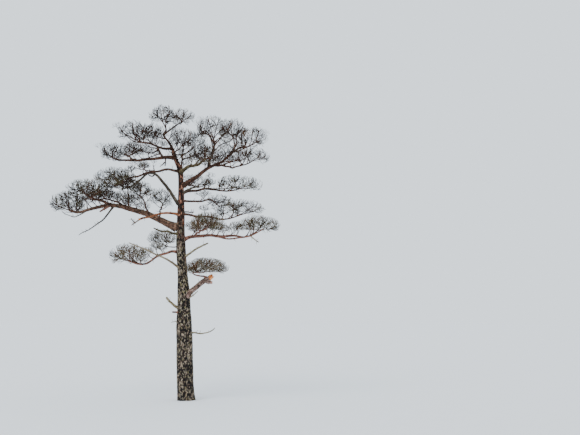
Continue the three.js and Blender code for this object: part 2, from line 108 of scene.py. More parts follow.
# Boughs and dead limbs. Columns: the name; what carries it; where on it, as a height on the trunk or a share
# of the carrying limb; the bearing in degrees from the right towards the back; the level distance to the tip;
# the rise to the tip; the height above a straight line at one third and two thirds; first and last diameter.
Limb = namedtuple("Limb", "name on at bearing reach climb lift thick")
LIMBS = [Limb(*row) for row in [
    ("bough_top_right", "trunk", 10740, 36, 850, 610, (20, 20), (72, 56)),
    ("bough_upper_left", "trunk", 10180, 221, 1250, 20, (-60, -45), (105, 72)),
    ("bough_high_left", "trunk", 9760, 189, 2250, -180, (45, -35), (140, 72)),
    ("bough_high_left_riser", "bough_high_left", 0.24, 112, 1000, 690, (55, 60), (95, 66)),
    ("bough_high_left_back", "bough_high_left", 0.74, 113, 1300, 480, (10, 10), (76, 56)),
    ("bough_mid_left", "trunk", 9250, 219, 2300, -530, (135, 90), (100, 70)),
    ("bough_left_diagonal", "trunk", 7790, 166, 1590, 1260, (260, 450), (135, 86)),
    ("bough_great_left", "trunk", 6840, 178, 3890, 690, (340, 450), (290, 104)),
    ("bough_great_left_side", "bough_great_left", 0.72, 240, 1100, 110, (25, 20), (125, 76)),
    ("bough_great_left_front", "bough_great_left", 0.34, 262, 1450, 480, (20, 15), (76, 48)),
    ("bough_great_left_rear", "bough_great_left", 0.24, 84, 1300, 780, (20, 25), (70, 46)),
    ("bough_great_right", "trunk", 8560, 352, 2260, 1560, (20, -20), (185, 70)),
    ("bough_great_right_upright", "bough_great_right", 0.5, 281, 990, 765, (25, 0), (120, 78)),
    ("bough_great_right_back", "bough_great_right", 0.86, 70, 1130, 870, (-75, -110), (90, 62)),
    ("bough_great_right_low", "bough_great_right", 0.63, 56, 1500, 135, (-20, -25), (94, 66)),
    ("bough_right_lichened", "trunk", 9200, 299, 1880, 220, (40, -45), (155, 84)),
    ("bough_mid_right_rear", "trunk", 8310, 35, 1530, 330, (30, 45), (110, 76)),
    ("bough_mid_right_front", "trunk", 7440, 320, 1710, -250, (0, 20), (98, 70)),
    ("bough_rear_high", "trunk", 8700, 74, 1950, 230, (40, 20), (96, 62)),
    ("bough_rear", "trunk", 7940, 56, 2280, 390, (-5, -10), (95, 62)),
    ("bough_low_right", "trunk", 6330, 8, 2440, 250, (150, 115), (138, 80)),
    ("bough_low_right_front", "bough_low_right", 0.23, 277, 1460, 110, (20, 15), (80, 56)),
    ("bough_low_left", "trunk", 5860, 190, 1270, -385, (155, 155), (112, 76)),
    ("bough_broken", "trunk", 3880, 334, 1140, 970, (120, 110), (215, 190)),
    ("limb_torn_back", "bough_broken", 0.95, 191, 615, 180, (15, -15), (70, 52)),
    ("limb_dead_pale", "trunk", 5170, 215, 2500, 970, (70, 95), (92, 34)),
    ("limb_dead_lichened", "trunk", 5650, 325, 1290, 550, (0, 45), (88, 58)),
    ("limb_dead_arched", "trunk", 7380, 202, 1750, -240, (150, 130), (94, 74)),
    ("limb_dead_drooping", "bough_great_left", 0.69, 208, 1450, -1290, (-225, -125), (72, 24)),
    ("snag_mossy", "trunk", 6590, 226, 1510, 170, (-15, -15), (105, 44)),
]]

# Short broken stubs that are one with the trunk's wood, in the same columns
STUBS = [Limb(*row) for row in [
    ("stub_lichened", "trunk", 3470, 191, 740, 610, (-40, -60), (135, 76)),
    ("stub_thin", "trunk", 2620, 6, 1220, 230, (-70, -130), (70, 36)),
    ("stub_dark", "trunk", 8330, 319, 960, 210, (10, 45), (92, 64)),
    ("stub_short", "trunk", 7530, 330, 610, -25, (0, 0), (60, 40)),
    ("stub_reddish", "trunk", 3420, 205, 520, 60, (0, 0), (84, 60)),
]]

# Small limbs and dead twigs that belong to the looks alone, in the same columns
SMALL_LIMBS = [Limb(*row) for row in [
    ("small_right_low", "bough_great_right", 0.62, 332, 1080, 170, (-70, -60), (66, 40)),
    ("small_right_knobbed", "bough_mid_right_rear", 0.72, 20, 180, 440, (-40, -30), (66, 46)),
    ("dead_twig_arched", "limb_dead_arched", 0.93, 200, 430, -290, (20, 0), (62, 34)),
    ("dead_twig_arched_fork", "dead_twig_arched", 0.7, 190, 150, 180, (0, 0), (46, 28)),
    ("dead_twig_great_left", "bough_great_left", 0.97, 188, 950, -90, (-200, -210), (46, 22)),
    ("dead_twig_hanging", "bough_high_left", 0.18, 200, 20, -370, (0, 0), (56, 34)),
    ("dead_twig_low", "trunk", 3130, 195, 540, -70, (0, 0), (40, 22)),
    ("dead_strip_torn", "bough_broken", 0.1, 330, 540, 300, (-60, -60), (70, 30)),
    ("small_left_crossing", "bough_high_left_riser", 0.5, 194, 1020, -170, (-95, -10), (58, 34)),
    ("small_left_lower", "bough_high_left_riser", 0.22, 201, 840, -280, (15, -35), (48, 30)),
    ("small_mid_left_up", "bough_mid_left", 0.57, 145, 100, 300, (-10, -5), (38, 24)),
    ("small_mid_left_out", "bough_mid_left", 0.57, 172, 830, 170, (5, -20), (42, 26)),
    ("small_leader_right", "trunk", 9150, 304, 180, 1160, (-5, 0), (84, 52)),
    ("small_leader_curl", "small_leader_right", 0.93, 216, 170, 340, (-10, -5), (46, 28)),
    ("small_leader_out", "small_leader_right", 0.62, 337, 520, 320, (-15, -50), (48, 28)),
    ("small_leader_low", "small_leader_right", 0.5, 343, 1010, 240, (45, 30), (50, 28)),
    ("small_lichened_up", "bough_right_lichened", 0.5, 121, 120, 550, (-15, -10), (38, 24)),
    ("small_lichened_out", "bough_right_lichened", 0.62, 342, 480, 430, (30, 25), (60, 34)),
    ("small_dome_left", "bough_great_right_upright", 0.97, 197, 500, 550, (190, 165), (52, 28)),
    ("small_dome_right", "bough_great_right_upright", 0.97, 13, 670, 940, (-20, -100), (56, 28)),
    ("small_dome_far", "bough_great_right", 0.97, 119, 230, 930, (45, 0), (58, 30)),
    ("small_dome_tip", "bough_great_right", 0.97, 352, 1080, 510, (-75, -60), (56, 28)),
    ("small_dome_riser", "small_dome_tip", 0.42, 226, 210, 670, (10, 25), (40, 24)),
    ("small_dome_end", "small_dome_tip", 0.8, 330, 120, 520, (15, 5), (36, 22)),
    ("small_upper_left_sweep", "bough_upper_left", 0.97, 190, 1110, 490, (-155, -200), (52, 26)),
    ("small_high_left_sweep", "bough_high_left", 0.94, 191, 780, 370, (-95, -115), (48, 24)),
    ("small_right_strand", "bough_mid_right_rear", 0.72, 12, 1420, 170, (-5, -35), (44, 26)),
    ("dead_twig_hanging_fork", "dead_twig_hanging", 0.5, 188, 230, -210, (0, 0), (44, 28)),
    ("small_great_left_strand", "bough_great_left", 0.6, 189, 1570, 240, (190, 110), (74, 34)),
    ("small_great_left_rise", "bough_great_left", 0.54, 112, 270, 1080, (180, 60), (62, 40)),
    ("dead_snag_red", "bough_great_left", 0.69, 186, 560, -270, (45, 20), (100, 62)),
    ("dead_snag_red_fork", "dead_snag_red", 0.45, 200, 150, -110, (40, -5), (66, 44)),
    ("dead_prong_torn", "bough_broken", 0.8, 352, 240, -75, (-20, -10), (150, 116)),
    ("small_diagonal_strand", "bough_left_diagonal", 0.72, 191, 310, 0, (-115, -80), (56, 34)),
    ("small_low_right_strand", "bough_low_right", 0.56, 358, 2080, 300, (-225, -215), (72, 46)),
    ("dead_prong_low_right", "small_low_right_strand", 0.74, 353, 340, -280, (-20, -10), (52, 34)),
    ("small_left_reach", "small_left_crossing", 0.66, 185, 650, 300, (-30, -35), (42, 26)),
    ("small_left_trail", "small_left_crossing", 0.9, 173, 470, 20, (-130, -115), (40, 24)),
    ("small_left_inner", "bough_high_left_riser", 0.62, 188, 560, 200, (-55, -90), (46, 26)),
    ("small_dome_inner_left", "bough_great_right_upright", 0.8, 194, 500, 730, (290, 135), (44, 26)),
    ("small_dome_inner_right", "bough_great_right_upright", 0.62, 10, 850, 700, (95, 25), (48, 28)),
    ("small_dome_cross", "bough_great_right", 0.66, 353, 1150, 270, (-10, -55), (50, 28)),
]]
CROOK_SHARE = 0.012
CROOK_WAVES = (2, 3, 5)
COLLAR_SWELL = 0.28
COLLAR_SHARE = 0.12
LINE_STEPS = 72

# The barks of limbs, where they aren't the red bark of the other boughs
LIMBS_OF_BARK = {
    "ruddy": ["bough_great_left"],
    "grey": ["bough_left_diagonal", "limb_dead_drooping", "stub_dark", "dead_twig_great_left",
             "small_diagonal_strand"],
    "olive": ["bough_right_lichened", "snag_mossy", "small_lichened_up", "small_lichened_out"],
    "pink": ["bough_low_right", "bough_low_right_front", "bough_low_left", "limb_torn_back", "stub_reddish",
             "small_low_right_strand", "dead_snag_red", "dead_snag_red_fork"],
    "weathered": ["bough_broken", "dead_prong_torn"],
    "bare": ["limb_dead_pale", "dead_strip_torn"],
    "pale": ["limb_dead_lichened", "stub_lichened", "stub_thin", "dead_prong_low_right", "dead_twig_low"],
    "orange": ["limb_dead_arched"],
    "dark": ["stub_short", "small_right_knobbed", "dead_twig_arched", "dead_twig_arched_fork",
             "dead_twig_hanging", "dead_twig_hanging_fork", "small_right_strand"],
}
BARK_OF = {name: bark for bark, names in LIMBS_OF_BARK.items() for name in names}

# The torn ends. Columns: the name, the limb, the length of its splinters, how many, and their wood.
TORN_ENDS = [
    ("broken_bough", "bough_broken", 220, 48, "torn"),
    ("prong", "dead_prong_torn", 110, 26, "split"),
    ("arched_limb", "limb_dead_arched", 110, 16, "torn"),
]

# Masses of bare twigs. Columns: the name; the limb whose tip carries it, or the trunk; the height on the
# trunk, or TIP; the bearing from there to the middle of its space; how far ahead and how far above that
# middle is; half the length of the space along its bearing, half its width and half its height; how full it
# is; and the kind of its twigs.
TIP = None
Mass = namedtuple("Mass", "name on at bearing ahead above half full kind")
MASSES = [Mass(*row) for row in [
    ("twigs_top_left", "trunk", TIP, 250, 330, 550, (600, 600, 500), 1, "dark"),
    ("twigs_top_right", "bough_top_right", TIP, 50, 130, 240, (580, 540, 430), 0.9, "grey"),
    ("twigs_upper_left", "bough_upper_left", TIP, 225, 700, 250, (720, 700, 560), 1.1, "dark"),
    ("twigs_upper_left_back", "bough_high_left_riser", TIP, 130, 500, 520, (620, 600, 500), 0.85, "dark"),
    ("twigs_upper_left_inner", "trunk", 10560, 200, 480, 240, (420, 420, 400), 0.5, "grey"),
    ("twigs_high_left", "bough_high_left", TIP, 195, 280, 230, (520, 560, 500), 1, "dark"),
    ("twigs_high_left_back", "bough_high_left_back", TIP, 60, 640, 260, (560, 620, 430), 0.85, "grey"),
    ("twigs_mid_left", "bough_mid_left", TIP, 210, 760, -230, (860, 760, 560), 1.2, "dense"),
    ("twigs_mid_left_back", "bough_left_diagonal", TIP, 170, 930, -360, (900, 700, 480), 1.1, "mossy"),
    ("twigs_great_left", "bough_great_left", TIP, 176, 620, 240, (780, 760, 600), 1.2, "dense"),
    ("twigs_great_left_side", "bough_great_left_side", TIP, 225, 400, 290, (870, 680, 470), 1.15, "mossy"),
    ("twigs_great_left_front", "bough_great_left_front", TIP, 255, 330, 230, (520, 500, 470), 0.8, "mossy"),
    ("twigs_great_left_rear", "bough_great_left_rear", TIP, 105, 410, 330, (540, 480, 450), 0.7, "grey"),
    ("twigs_great_right", "bough_great_right", TIP, 342, 640, 390, (680, 700, 640), 1.15, "grey"),
    ("twigs_great_right_upright", "bough_great_right_upright", TIP, 262, 420, 440, (660, 740, 680), 1.2,
     "grey"),
    ("twigs_great_right_back", "bough_great_right_back", TIP, 150, 200, 400, (680, 700, 640), 1.15, "grey"),
    ("twigs_great_right_low", "bough_great_right_low", TIP, 30, 970, 540, (840, 680, 450), 1.1, "grey"),
    ("twigs_leader_front", "trunk", 10030, 290, 1080, 280, (560, 540, 520), 0.9, "grey"),
    ("twigs_leader_back", "trunk", 9950, 58, 1560, 820, (600, 620, 520), 0.95, "grey"),
    ("twigs_right_lichened", "bough_right_lichened", TIP, 270, 600, 0, (700, 760, 520), 1.1, "grey"),
    ("twigs_mid_right_rear", "bough_mid_right_rear", TIP, 16, 1270, 250, (1080, 720, 450), 1.2, "olive"),
    ("twigs_mid_right_front", "bough_mid_right_front", TIP, 350, 1060, 300, (1000, 720, 460), 1.15, "olive"),
    ("twigs_rear_high", "bough_rear_high", TIP, 60, 520, 150, (600, 620, 400), 0.55, "grey"),
    ("twigs_rear", "bough_rear", TIP, 55, 740, -60, (720, 680, 400), 0.75, "grey"),
    ("twigs_low_right", "bough_low_right", TIP, 7, 810, 470, (940, 700, 460), 1.1, "haze"),
    ("twigs_low_right_front", "bough_low_right_front", TIP, 290, 820, 210, (760, 660, 430), 1, "haze"),
    ("twigs_torn_limb", "limb_torn_back", TIP, 345, 520, 215, (920, 620, 420), 1.1, "mist"),
    ("twigs_low_left", "bough_low_left", TIP, 200, 840, 190, (820, 680, 540), 1.1, "haze"),
    ("twigs_low_back", "trunk", 6150, 116, 1900, 420, (680, 640, 430), 0.95, "haze"),
]]

# The branching rule. At each level so many twigs grow from those before: their first and last radius, how low
# round the space the lowest one ends, how near the skin of the space they end, the shortest span that they
# take, and the sides that they are drawn with. The first three levels are the frame's own.
Level = namedtuple("Level", "count radii lowest depths shortest sides")
FRAME_LEVELS = [
    Level(5, (26, 14), -0.12, (0.74, 0.92), 120, 6),
    Level(7, (18, 11), -0.2, (0.82, 0.97), 120, 5),
    Level(7, (13, 9), -0.25, (0.9, 0.985), 120, 4),
]
MASS_LEVELS = FRAME_LEVELS + [Level(70, (14.5, 10), -0.4, (0.74, 0.97), 230, 3)]
FINE_LEVEL = Level(170, (12, 10), -0.5, (0.3, 1.0), 180, 3)
SPRAY_LEVELS = [
    Level(3, (13, 10), 0.0, (0.7, 0.9), 120, 4),
    Level(5, (11, 8.5), -0.1, (0.8, 0.97), 110, 4),
    Level(14, (9.5, 7), -0.3, (0.75, 1.0), 100, 3),
]
SPRAY_FINE_LEVEL = Level(44, (9.5, 8), -0.35, (0.5, 1.0), 80, 3)
SPRAY_STEM_SIDES = 6
TWIG_STEPS = 8
FIRST_FORK = 2
RISE_PLAY = 0.6
TURN_PLAY = 0.5
CHILD_SHARE = 0.72
END_SHARE = 0.8
LEAVING_PULL = 0.36
ARRIVING_PULL = 0.34
SWAY_SHARE = 0.16
LEAD_ALONG = 0.6
LEAD_AHEAD = 0.55
TWIG_FINISH = (0.7, 0.75)
TURN_COST = 1.3
CROWD_COST = 0.12

# What the seeds of draws are counted from, for twigs and brush of masses and of side sprays, and for stems
MASS_SEED = 1000
MASS_BRUSH_SEED = 5000
SPRAY_SEED = 2000
SPRAY_BRUSH_SEED = 6000
STEM_SEED = 60

# The stem of a mass, and what its twigs keep clear of
TOUCHING_GAP = 0.3
STEM_TAPER = 0.6
STEM_DROP = 0.32
STEM_UPTURN = 0.5
STEM_ROOT_DEPTH = 60
TIP_STEM_SHARE = 0.9
THIN_STEM_RADIUS = 26
SPACE_LIMIT = 0.985
SPACE_MARGIN = 0.045
WOOD_MARGIN = 16
WOOD_FREE_STEP = 2
TWIG_MARGIN = 8
TWIG_FREE_STEP = 3
BALLS_PER_STEP = 4
TRUNK_BALL_STEP = 60
TRUNK_BALL_SHARE = 1.06
NEAR_WOOD = 900

# The brush of fine twigs stands out over the tips of the thicker ones and sinks in between them
BRUSH_MARGIN = -0.14
CLUMP_SINK = 0.1
CLUMP_SPREAD_DEG = 38
GAP_SHARE = 0.25
FINE_FINISH = (0.6, 0.9)
FINE_CHILD_SHARE = 0.8
FINE_STEPS = 4

# Fine twigs are dealt to their forks in blocks. A place costs more the more twigs fork from it and the more
# they would have to bend from there.
FORK_BLOCK = 16
FORK_PLAY = 0.3
FORK_CROWD_COST = 0.35
FORK_UPRIGHT_COST = 1.2

# Along the outer part of each fine twig stands a tuft of a few long upright twiglets
TUFT_COUNT = 3
TUFT_STEPS = 2
TUFT_FROM = 0.4
TUFT_LENGTHS = (190, 380)
TUFT_RADII = (13.5, 9.5)
TUFT_CHILD_SHARE = 0.85
TUFT_SPREADS = (0.45, 0.18)
TUFT_RISE = 0.9
TUFT_LIMITS = (0.96, 1.04)

# Small side sprays along the boughs. Columns: the bough; the shares of its length between which they stand,
# or heights on the trunk; how many; half the size of each; the kind of their twigs.
SpraySet = namedtuple("SpraySet", "on first last count size kind")
SPRAY_SETS = [SpraySet(*row) for row in [
    ("trunk", 9150, 10600, 7, 340, "grey"),
    ("bough_top_right", 0.3, 0.7, 1, 250, "grey"),
    ("bough_upper_left", 0.35, 0.8, 2, 310, "dark"),
    ("bough_high_left", 0.25, 0.75, 4, 330, "dark"),
    ("bough_high_left_riser", 0.4, 0.9, 1, 280, "dark"),
    ("bough_high_left_back", 0.3, 0.9, 1, 320, "dark"),
    ("bough_mid_left", 0.62, 0.97, 3, 280, "dense"),
    ("bough_great_left", 0.34, 0.97, 13, 400, "dense"),
    ("bough_great_left_side", 0.2, 0.9, 3, 360, "dense"),
    ("bough_great_left_front", 0.45, 0.95, 3, 340, "dense"),
    ("bough_great_left_rear", 0.45, 0.95, 3, 340, "dense"),
    ("bough_great_right", 0.35, 0.97, 7, 390, "grey"),
    ("bough_great_right_upright", 0.25, 0.95, 3, 360, "grey"),
    ("bough_great_right_back", 0.3, 0.95, 3, 360, "grey"),
    ("bough_great_right_low", 0.3, 0.95, 4, 350, "grey"),
    ("bough_right_lichened", 0.45, 0.95, 4, 340, "olive"),
    ("bough_mid_right_rear", 0.75, 0.97, 2, 300, "olive"),
    ("bough_mid_right_front", 0.7, 0.97, 2, 300, "olive"),
    ("bough_rear_high", 0.4, 0.95, 2, 340, "grey"),
    ("bough_rear", 0.4, 0.95, 2, 340, "grey"),
    ("bough_low_right", 0.1, 0.97, 8, 340, "haze"),
    ("bough_low_right_front", 0.35, 0.95, 3, 330, "haze"),
    ("bough_low_left", 0.45, 0.95, 3, 310, "haze"),
    ("small_right_low", 0.4, 1.0, 3, 330, "grey"),
    ("small_right_knobbed", 0.6, 1.0, 1, 260, "olive"),
    ("small_left_crossing", 0.3, 1.0, 3, 290, "dark"),
    ("small_left_lower", 0.4, 1.0, 2, 270, "dark"),
    ("small_mid_left_up", 0.9, 1.0, 1, 190, "grey"),
    ("small_mid_left_out", 0.3, 1.0, 3, 230, "grey"),
    ("small_leader_right", 0.4, 0.95, 2, 300, "grey"),
    ("small_leader_curl", 0.6, 1.0, 1, 290, "grey"),
    ("small_leader_out", 0.5, 1.0, 2, 290, "grey"),
    ("small_leader_low", 0.4, 1.0, 3, 300, "grey"),
    ("small_lichened_up", 0.5, 1.0, 1, 280, "grey"),
    ("small_lichened_out", 0.5, 1.0, 1, 300, "grey"),
    ("small_dome_left", 0.3, 1.0, 2, 320, "grey"),
    ("small_dome_right", 0.3, 0.9, 2, 320, "grey"),
    ("small_dome_far", 0.3, 0.8, 2, 320, "grey"),
    ("small_dome_tip", 0.3, 1.0, 3, 310, "grey"),
    ("small_upper_left_sweep", 0.3, 1.0, 3, 310, "dark"),
    ("small_high_left_sweep", 0.3, 1.0, 3, 290, "dark"),
    ("small_right_strand", 0.4, 1.0, 3, 270, "olive"),
    ("small_great_left_strand", 0.5, 1.0, 2, 320, "dense"),
    ("small_great_left_rise", 0.3, 0.9, 2, 320, "dense"),
    ("small_left_reach", 0.3, 0.8, 1, 260, "grey"),
    ("small_left_trail", 0.3, 1.0, 2, 240, "dark"),
    ("small_left_inner", 0.4, 1.0, 2, 250, "dark"),
    ("small_dome_inner_left", 0.35, 1.0, 2, 290, "grey"),
    ("small_dome_inner_right", 0.3, 1.0, 3, 300, "grey"),
    ("small_dome_cross", 0.4, 1.0, 3, 280, "grey"),
]]

# A side spray turns to either side of its carrier, where its middle lies outside all masses. Its size varies
# round that of its set, and its space and its stem follow from it and from the carrier's radius.
SPRAY_BEARINGS = (-62, 55, -28, 40)
SPRAY_FREE_DEPTH = 0.8
SPRAY_SIZES = (0.86, 1.14)
GOLDEN_SHARE = 0.618
SPRAY_FULL_SIZE = 340
SPRAY_HALF_SHARES = np.array([1, 0.9, 0.72])
SPRAY_AWAY_SHARE = 0.95
SPRAY_ROOT_SHARE = 0.5
SPRAY_STEM_RADIUS = 18
SPRAY_STEM_SHARE = 0.5
SPRAY_LEAD = (0.4, 0.7, 0.35)

# How twigs and limbs are bent off their even curves: how far each bend goes, and its size
CROOKS = ((16, 420), (6, 130))
CROOK_SHIFT = 977


def between(low, high, share):
    return low + (high - low) * share


def heading_of(bearing):
    """The level direction of a bearing."""
    return np.array([math.cos(math.radians(bearing)), math.sin(math.radians(bearing)), 0.0])


def unit(vectors):
    return vectors / np.linalg.norm(vectors, axis=-1, keepdims=True)


def smooth(low, high, values):
    """From 0 at a low value to 1 at a high one, with soft ends."""
    share = np.clip((values - low) / (high - low), 0, 1)
    return share * share * (3 - 2 * share)


DRAW_RANGE = 2 ** 32
DRAW_FACTOR = 1664525
DRAW_STEP = 1013904223
SEED_FACTOR = 2654435761


def seeded_draws(seed):
    """Draws from 0 to 1 by the same congruential rule as the frame's."""
    state = (seed + 1) * SEED_FACTOR % DRAW_RANGE

    def draw():
        nonlocal state
        state = (state * DRAW_FACTOR + DRAW_STEP) % DRAW_RANGE
        return state / DRAW_RANGE
    return draw


# A block of even draws, through which noise runs smoothly
LATTICE_SIZE = 32
LATTICE_SEED = 7
LATTICE = np.random.default_rng(LATTICE_SEED).random((LATTICE_SIZE,) * 3)


def noise(points, size):
    """Values from -1 to 1 that change smoothly over about a certain size."""
    place = np.asarray(points) / size
    cell = np.floor(place).astype(int)
    share = smooth(0, 1, place - cell)
    total = np.zeros(place.shape[:-1])
    for corner in np.ndindex(2, 2, 2):
        x, y, z = np.moveaxis((cell + corner) % LATTICE_SIZE, -1, 0)
        total += np.prod(np.where(np.array(corner) == 1, share, 1 - share), axis=-1) * LATTICE[x, y, z]
    return 2 * total - 1


def waves(points, kinds):
    """Smooth waves of several kinds laid over each other, each kind with its height and its size."""
    return sum(height * noise(points, size) for height, size in kinds)


def crooked(points):
    """Moves points off their even curves, neighbours alike, so that what is joined stays joined."""
    points = np.asarray(points, dtype=float)
    return points + np.stack([waves(points + CROOK_SHIFT * (axis + 1), CROOKS) for axis in range(3)], axis=-1)


def trunk_at(height):
    """The trunk's middle and radius at a height, on a smooth curve through its stations."""
    last = len(TRUNK) - 1
    k = min(int(np.searchsorted(TRUNK[1:, 0], height)), last - 1)
    before, low, high, after = TRUNK[max(k - 1, 0)], TRUNK[k], TRUNK[k + 1], TRUNK[min(k + 2, last)]
    span = high[0] - low[0]
    t = (height - low[0]) / span
    start = span * (high - before) / (high[0] - before[0])
    end = span * (after - low) / (after[0] - low[0])
    row = between(low, high, t * t * (3 - 2 * t)) + t * (1 - t) * ((1 - t) * start - t * end)
    return np.array([row[1], row[2], height]), row[3] / 2


def trunk_line(heights):
    """The trunk's middles and radii at many heights."""
    middles, radii = zip(*map(trunk_at, heights))
    return np.array(middles), np.array(radii)


# The limbs by name, their seeds and their middle lines
limb_named = {limb.name: limb for limb in LIMBS + STUBS + SMALL_LIMBS}
seeds = {name: seed for seed, name in enumerate(limb_named)}
lines = {}


def limb_radius(limb, shares):
    collar = 1 + COLLAR_SWELL * np.exp(-np.asarray(shares) / COLLAR_SHARE)
    return between(*limb.thick, np.asarray(shares)) / 2 * collar


def directions_of(points):
    """The direction of lines of points at each of their points."""
    padded = np.concatenate([points[..., :1, :], points, points[..., -1:, :]], axis=-2)
    return unit(padded[..., 2:, :] - padded[..., :-2, :])


def place_on(name, share):
    """The middle, direction and radius of a limb at a share of its length, or of the trunk at a height."""
    if name == "trunk":
        middle, radius = trunk_at(share)
        return middle, unit(trunk_at(share + TRUNK_LOOK_AHEAD)[0] - middle), radius
    line, step = lines[name], round(share * LINE_STEPS)
    return line[step], directions_of(line)[step], float(limb_radius(limb_named[name], share))


def limb_line(limb, shares):
    """A limb's middle line at shares of its length, a little crooked: a cubic that has its lifts at one third
    and two thirds, from which the weights near and far follow."""
    draw = seeded_draws(seeds[limb.name])
    root = place_on(limb.on, limb.at)[0]
    heading = heading_of(limb.bearing)
    side = np.cross(UP, heading)
    rise = heading * limb.reach + UP * limb.climb
    near = 9 * limb.lift[0] - 4.5 * limb.lift[1]
    far = 9 * limb.lift[1] - 4.5 * limb.lift[0]
    t = np.asarray(shares, dtype=float)[:, None]
    line = root + t * rise + UP * t * (1 - t) * ((1 - t) * near + t * far)
    for turns in CROOK_WAVES:
        over = draw() - 0.5
        across = draw() - 0.5
        wave = 4 * np.linalg.norm(rise) * CROOK_SHARE * np.sin(turns * math.pi * t) / math.sqrt(turns)
        line = line + wave * (over * UP + across * side)
    return line


SHARES = np.arange(LINE_STEPS + 1) / LINE_STEPS
for limb in limb_named.values():
    lines[limb.name] = limb_line(limb, SHARES)


def bent_line(start, lead, end, finish, sway, steps=TWIG_STEPS):
    """A bent line between two points, or many such lines, that leaves one way and arrives another."""
    span = np.linalg.norm(end - start, axis=-1, keepdims=True)
    near = start + LEAVING_PULL * span * lead + sway
    far = end - ARRIVING_PULL * span * finish - sway
    t = np.linspace(0, 1, steps + 1)[:, None]
    s = 1 - t
    start, near, far, end = (point[..., None, :] for point in (start, near, far, end))
    return s ** 3 * start + 3 * s * s * t * near + 3 * s * t * t * far + t ** 3 * end


def wood_balls():
    """Balls along the trunk, the limbs and the stubs, for the twigs to keep clear of."""
    middles, radii = trunk_line(np.arange(0, TRUNK_HEIGHT + 1, TRUNK_BALL_STEP))
    limbs = LIMBS + STUBS
    middles = np.concatenate([middles] + [lines[limb.name] for limb in limbs])
    return middles, np.concatenate([radii * TRUNK_BALL_SHARE] + [limb_radius(limb, SHARES) for limb in limbs])


WOOD_MIDDLES, WOOD_RADII = wood_balls()

# The oval space of a mass or a spray: the root of its stem, the stem's direction and radius there, the
# space's middle, its three axes and half its length along each, how full it is, and the kind of its twigs
Space = namedtuple("Space", "foot lead girth middle axes half full kind")


def axes_of(heading):
    return np.array([heading, np.cross(UP, heading), UP])


def space_of(mass):
    """The space that a mass keeps to, with its stem at a limb's tip, the trunk's tip or the trunk's side."""
    heading = heading_of(mass.bearing)
    if mass.on != "trunk":
        foot, lead, girth = place_on(mass.on, 1)
        foot = foot + TOUCHING_GAP * lead
    elif mass.at is TIP:
        middle, radius = trunk_at(TRUNK_HEIGHT)
        foot = trunk_at(TRUNK_HEIGHT - STEM_ROOT_DEPTH)[0]
        lead = unit(middle - foot)
        girth = radius * TIP_STEM_SHARE
    else:
        foot, lead, girth = trunk_at(mass.at)[0], heading, THIN_STEM_RADIUS
    middle = foot + mass.ahead * heading + mass.above * UP
    half = np.array(mass.half, dtype=float)
    return Space(foot, lead, girth, middle, axes_of(heading), half, mass.full, mass.kind)


spaces = [space_of(mass) for mass in MASSES]
SPACE_MIDDLES = np.array([space.middle for space in spaces])
SPACE_AXES = np.array([space.axes for space in spaces])
SPACE_HALVES = np.array([space.half for space in spaces])


def depths_in_masses(points):
    """How far out points lie in the space of each mass: 0 in its middle, 1 on its skin."""
    offsets = points[..., None, :] - SPACE_MIDDLES
    return np.linalg.norm(np.einsum("...sj,sij->...si", offsets, SPACE_AXES) / SPACE_HALVES, axis=-1)


def are_own(index, points, margin):
    """Whether points lie deeper in a mass's space than in any other, with a margin between the two."""
    depths = depths_in_masses(points)
    own = depths[..., index].copy()
    depths[..., index] = np.inf
    return own + margin < depths.min(axis=-1)


def pulled_in(space, points, limits):
    """Points with those that lie beyond a limit moved back to it. The first of each line stays."""
    depths = np.linalg.norm((points - space.middle) @ space.axes.T / space.half, axis=-1)
    shares = np.where(depths > limits, limits / np.maximum(depths, 1e-9), 1.0)
    shares[..., 0] = 1
    return space.middle + (points - space.middle) * shares[..., None]


class Twig:
    """A twig along a line of points, tapering evenly, with the number that fork from it at each point."""

    def __init__(self, points, lead, first_radius, last_radius, level):
        self.points = points
        self.directions = directions_of(points)
        self.directions[0] = lead
        self.radii = np.linspace(first_radius, last_radius, TWIG_STEPS + 1)
        self.forks = np.zeros(TWIG_STEPS + 1)
        self.level = level
        t = np.arange(BALLS_PER_STEP)[:, None] / BALLS_PER_STEP
        self.balls = between(points[:-1, None], points[1:, None], t).reshape(-1, 3)
        self.ball_radii = between(self.radii[:-1, None], self.radii[1:, None], t[:, 0]).ravel()

    def is_clear(self, balls, radii, first_step, margin):
        """Whether the twig, from one of its steps on, stays clear of other wood."""
        free = slice(first_step * BALLS_PER_STEP, None)
        return are_clear(self.balls[free], self.ball_radii[free], balls, radii, margin).all()


def are_clear(balls, radii, others, other_radii, margin):
    """For each ball, whether it stays clear of all others."""
    squares = np.sum(balls ** 2, axis=-1)[..., None] + np.sum(others ** 2, axis=-1) - 2 * balls @ others.T
    gaps = np.sqrt(np.maximum(squares, 0))
    return np.all(gaps > radii[..., None] + other_radii + margin, axis=-1)


def stem_points(space, steps):
    """The middle line of the stem of a space, which ends upright below its middle."""
    end = space.middle - STEM_DROP * space.half[2] * UP
    finish = unit(unit(end - space.foot) + STEM_UPTURN * UP)
    return bent_line(space.foot, space.lead, end, finish, 0.0, steps)


def stem_of(space):
    return Twig(stem_points(space, TWIG_STEPS), space.lead, space.girth, space.girth * STEM_TAPER, 0)


stems = [stem_of(space) for space in spaces]


def spread_round(level, k, count, turn, over, aside):
    """Number k of count places on a ball, spread evenly round it from a level's lowest up, and moved by two
    draws."""
    rise = between(level.lowest, 1, (k + (1 - RISE_PLAY) / 2 + RISE_PLAY * over) / count)
    angle = turn + k * GOLDEN_TURN + TURN_PLAY * (aside - 0.5)
    level_share = np.sqrt(1 - rise * rise)
    return np.stack([level_share * np.cos(angle), level_share * np.sin(angle), rise], axis=-1)


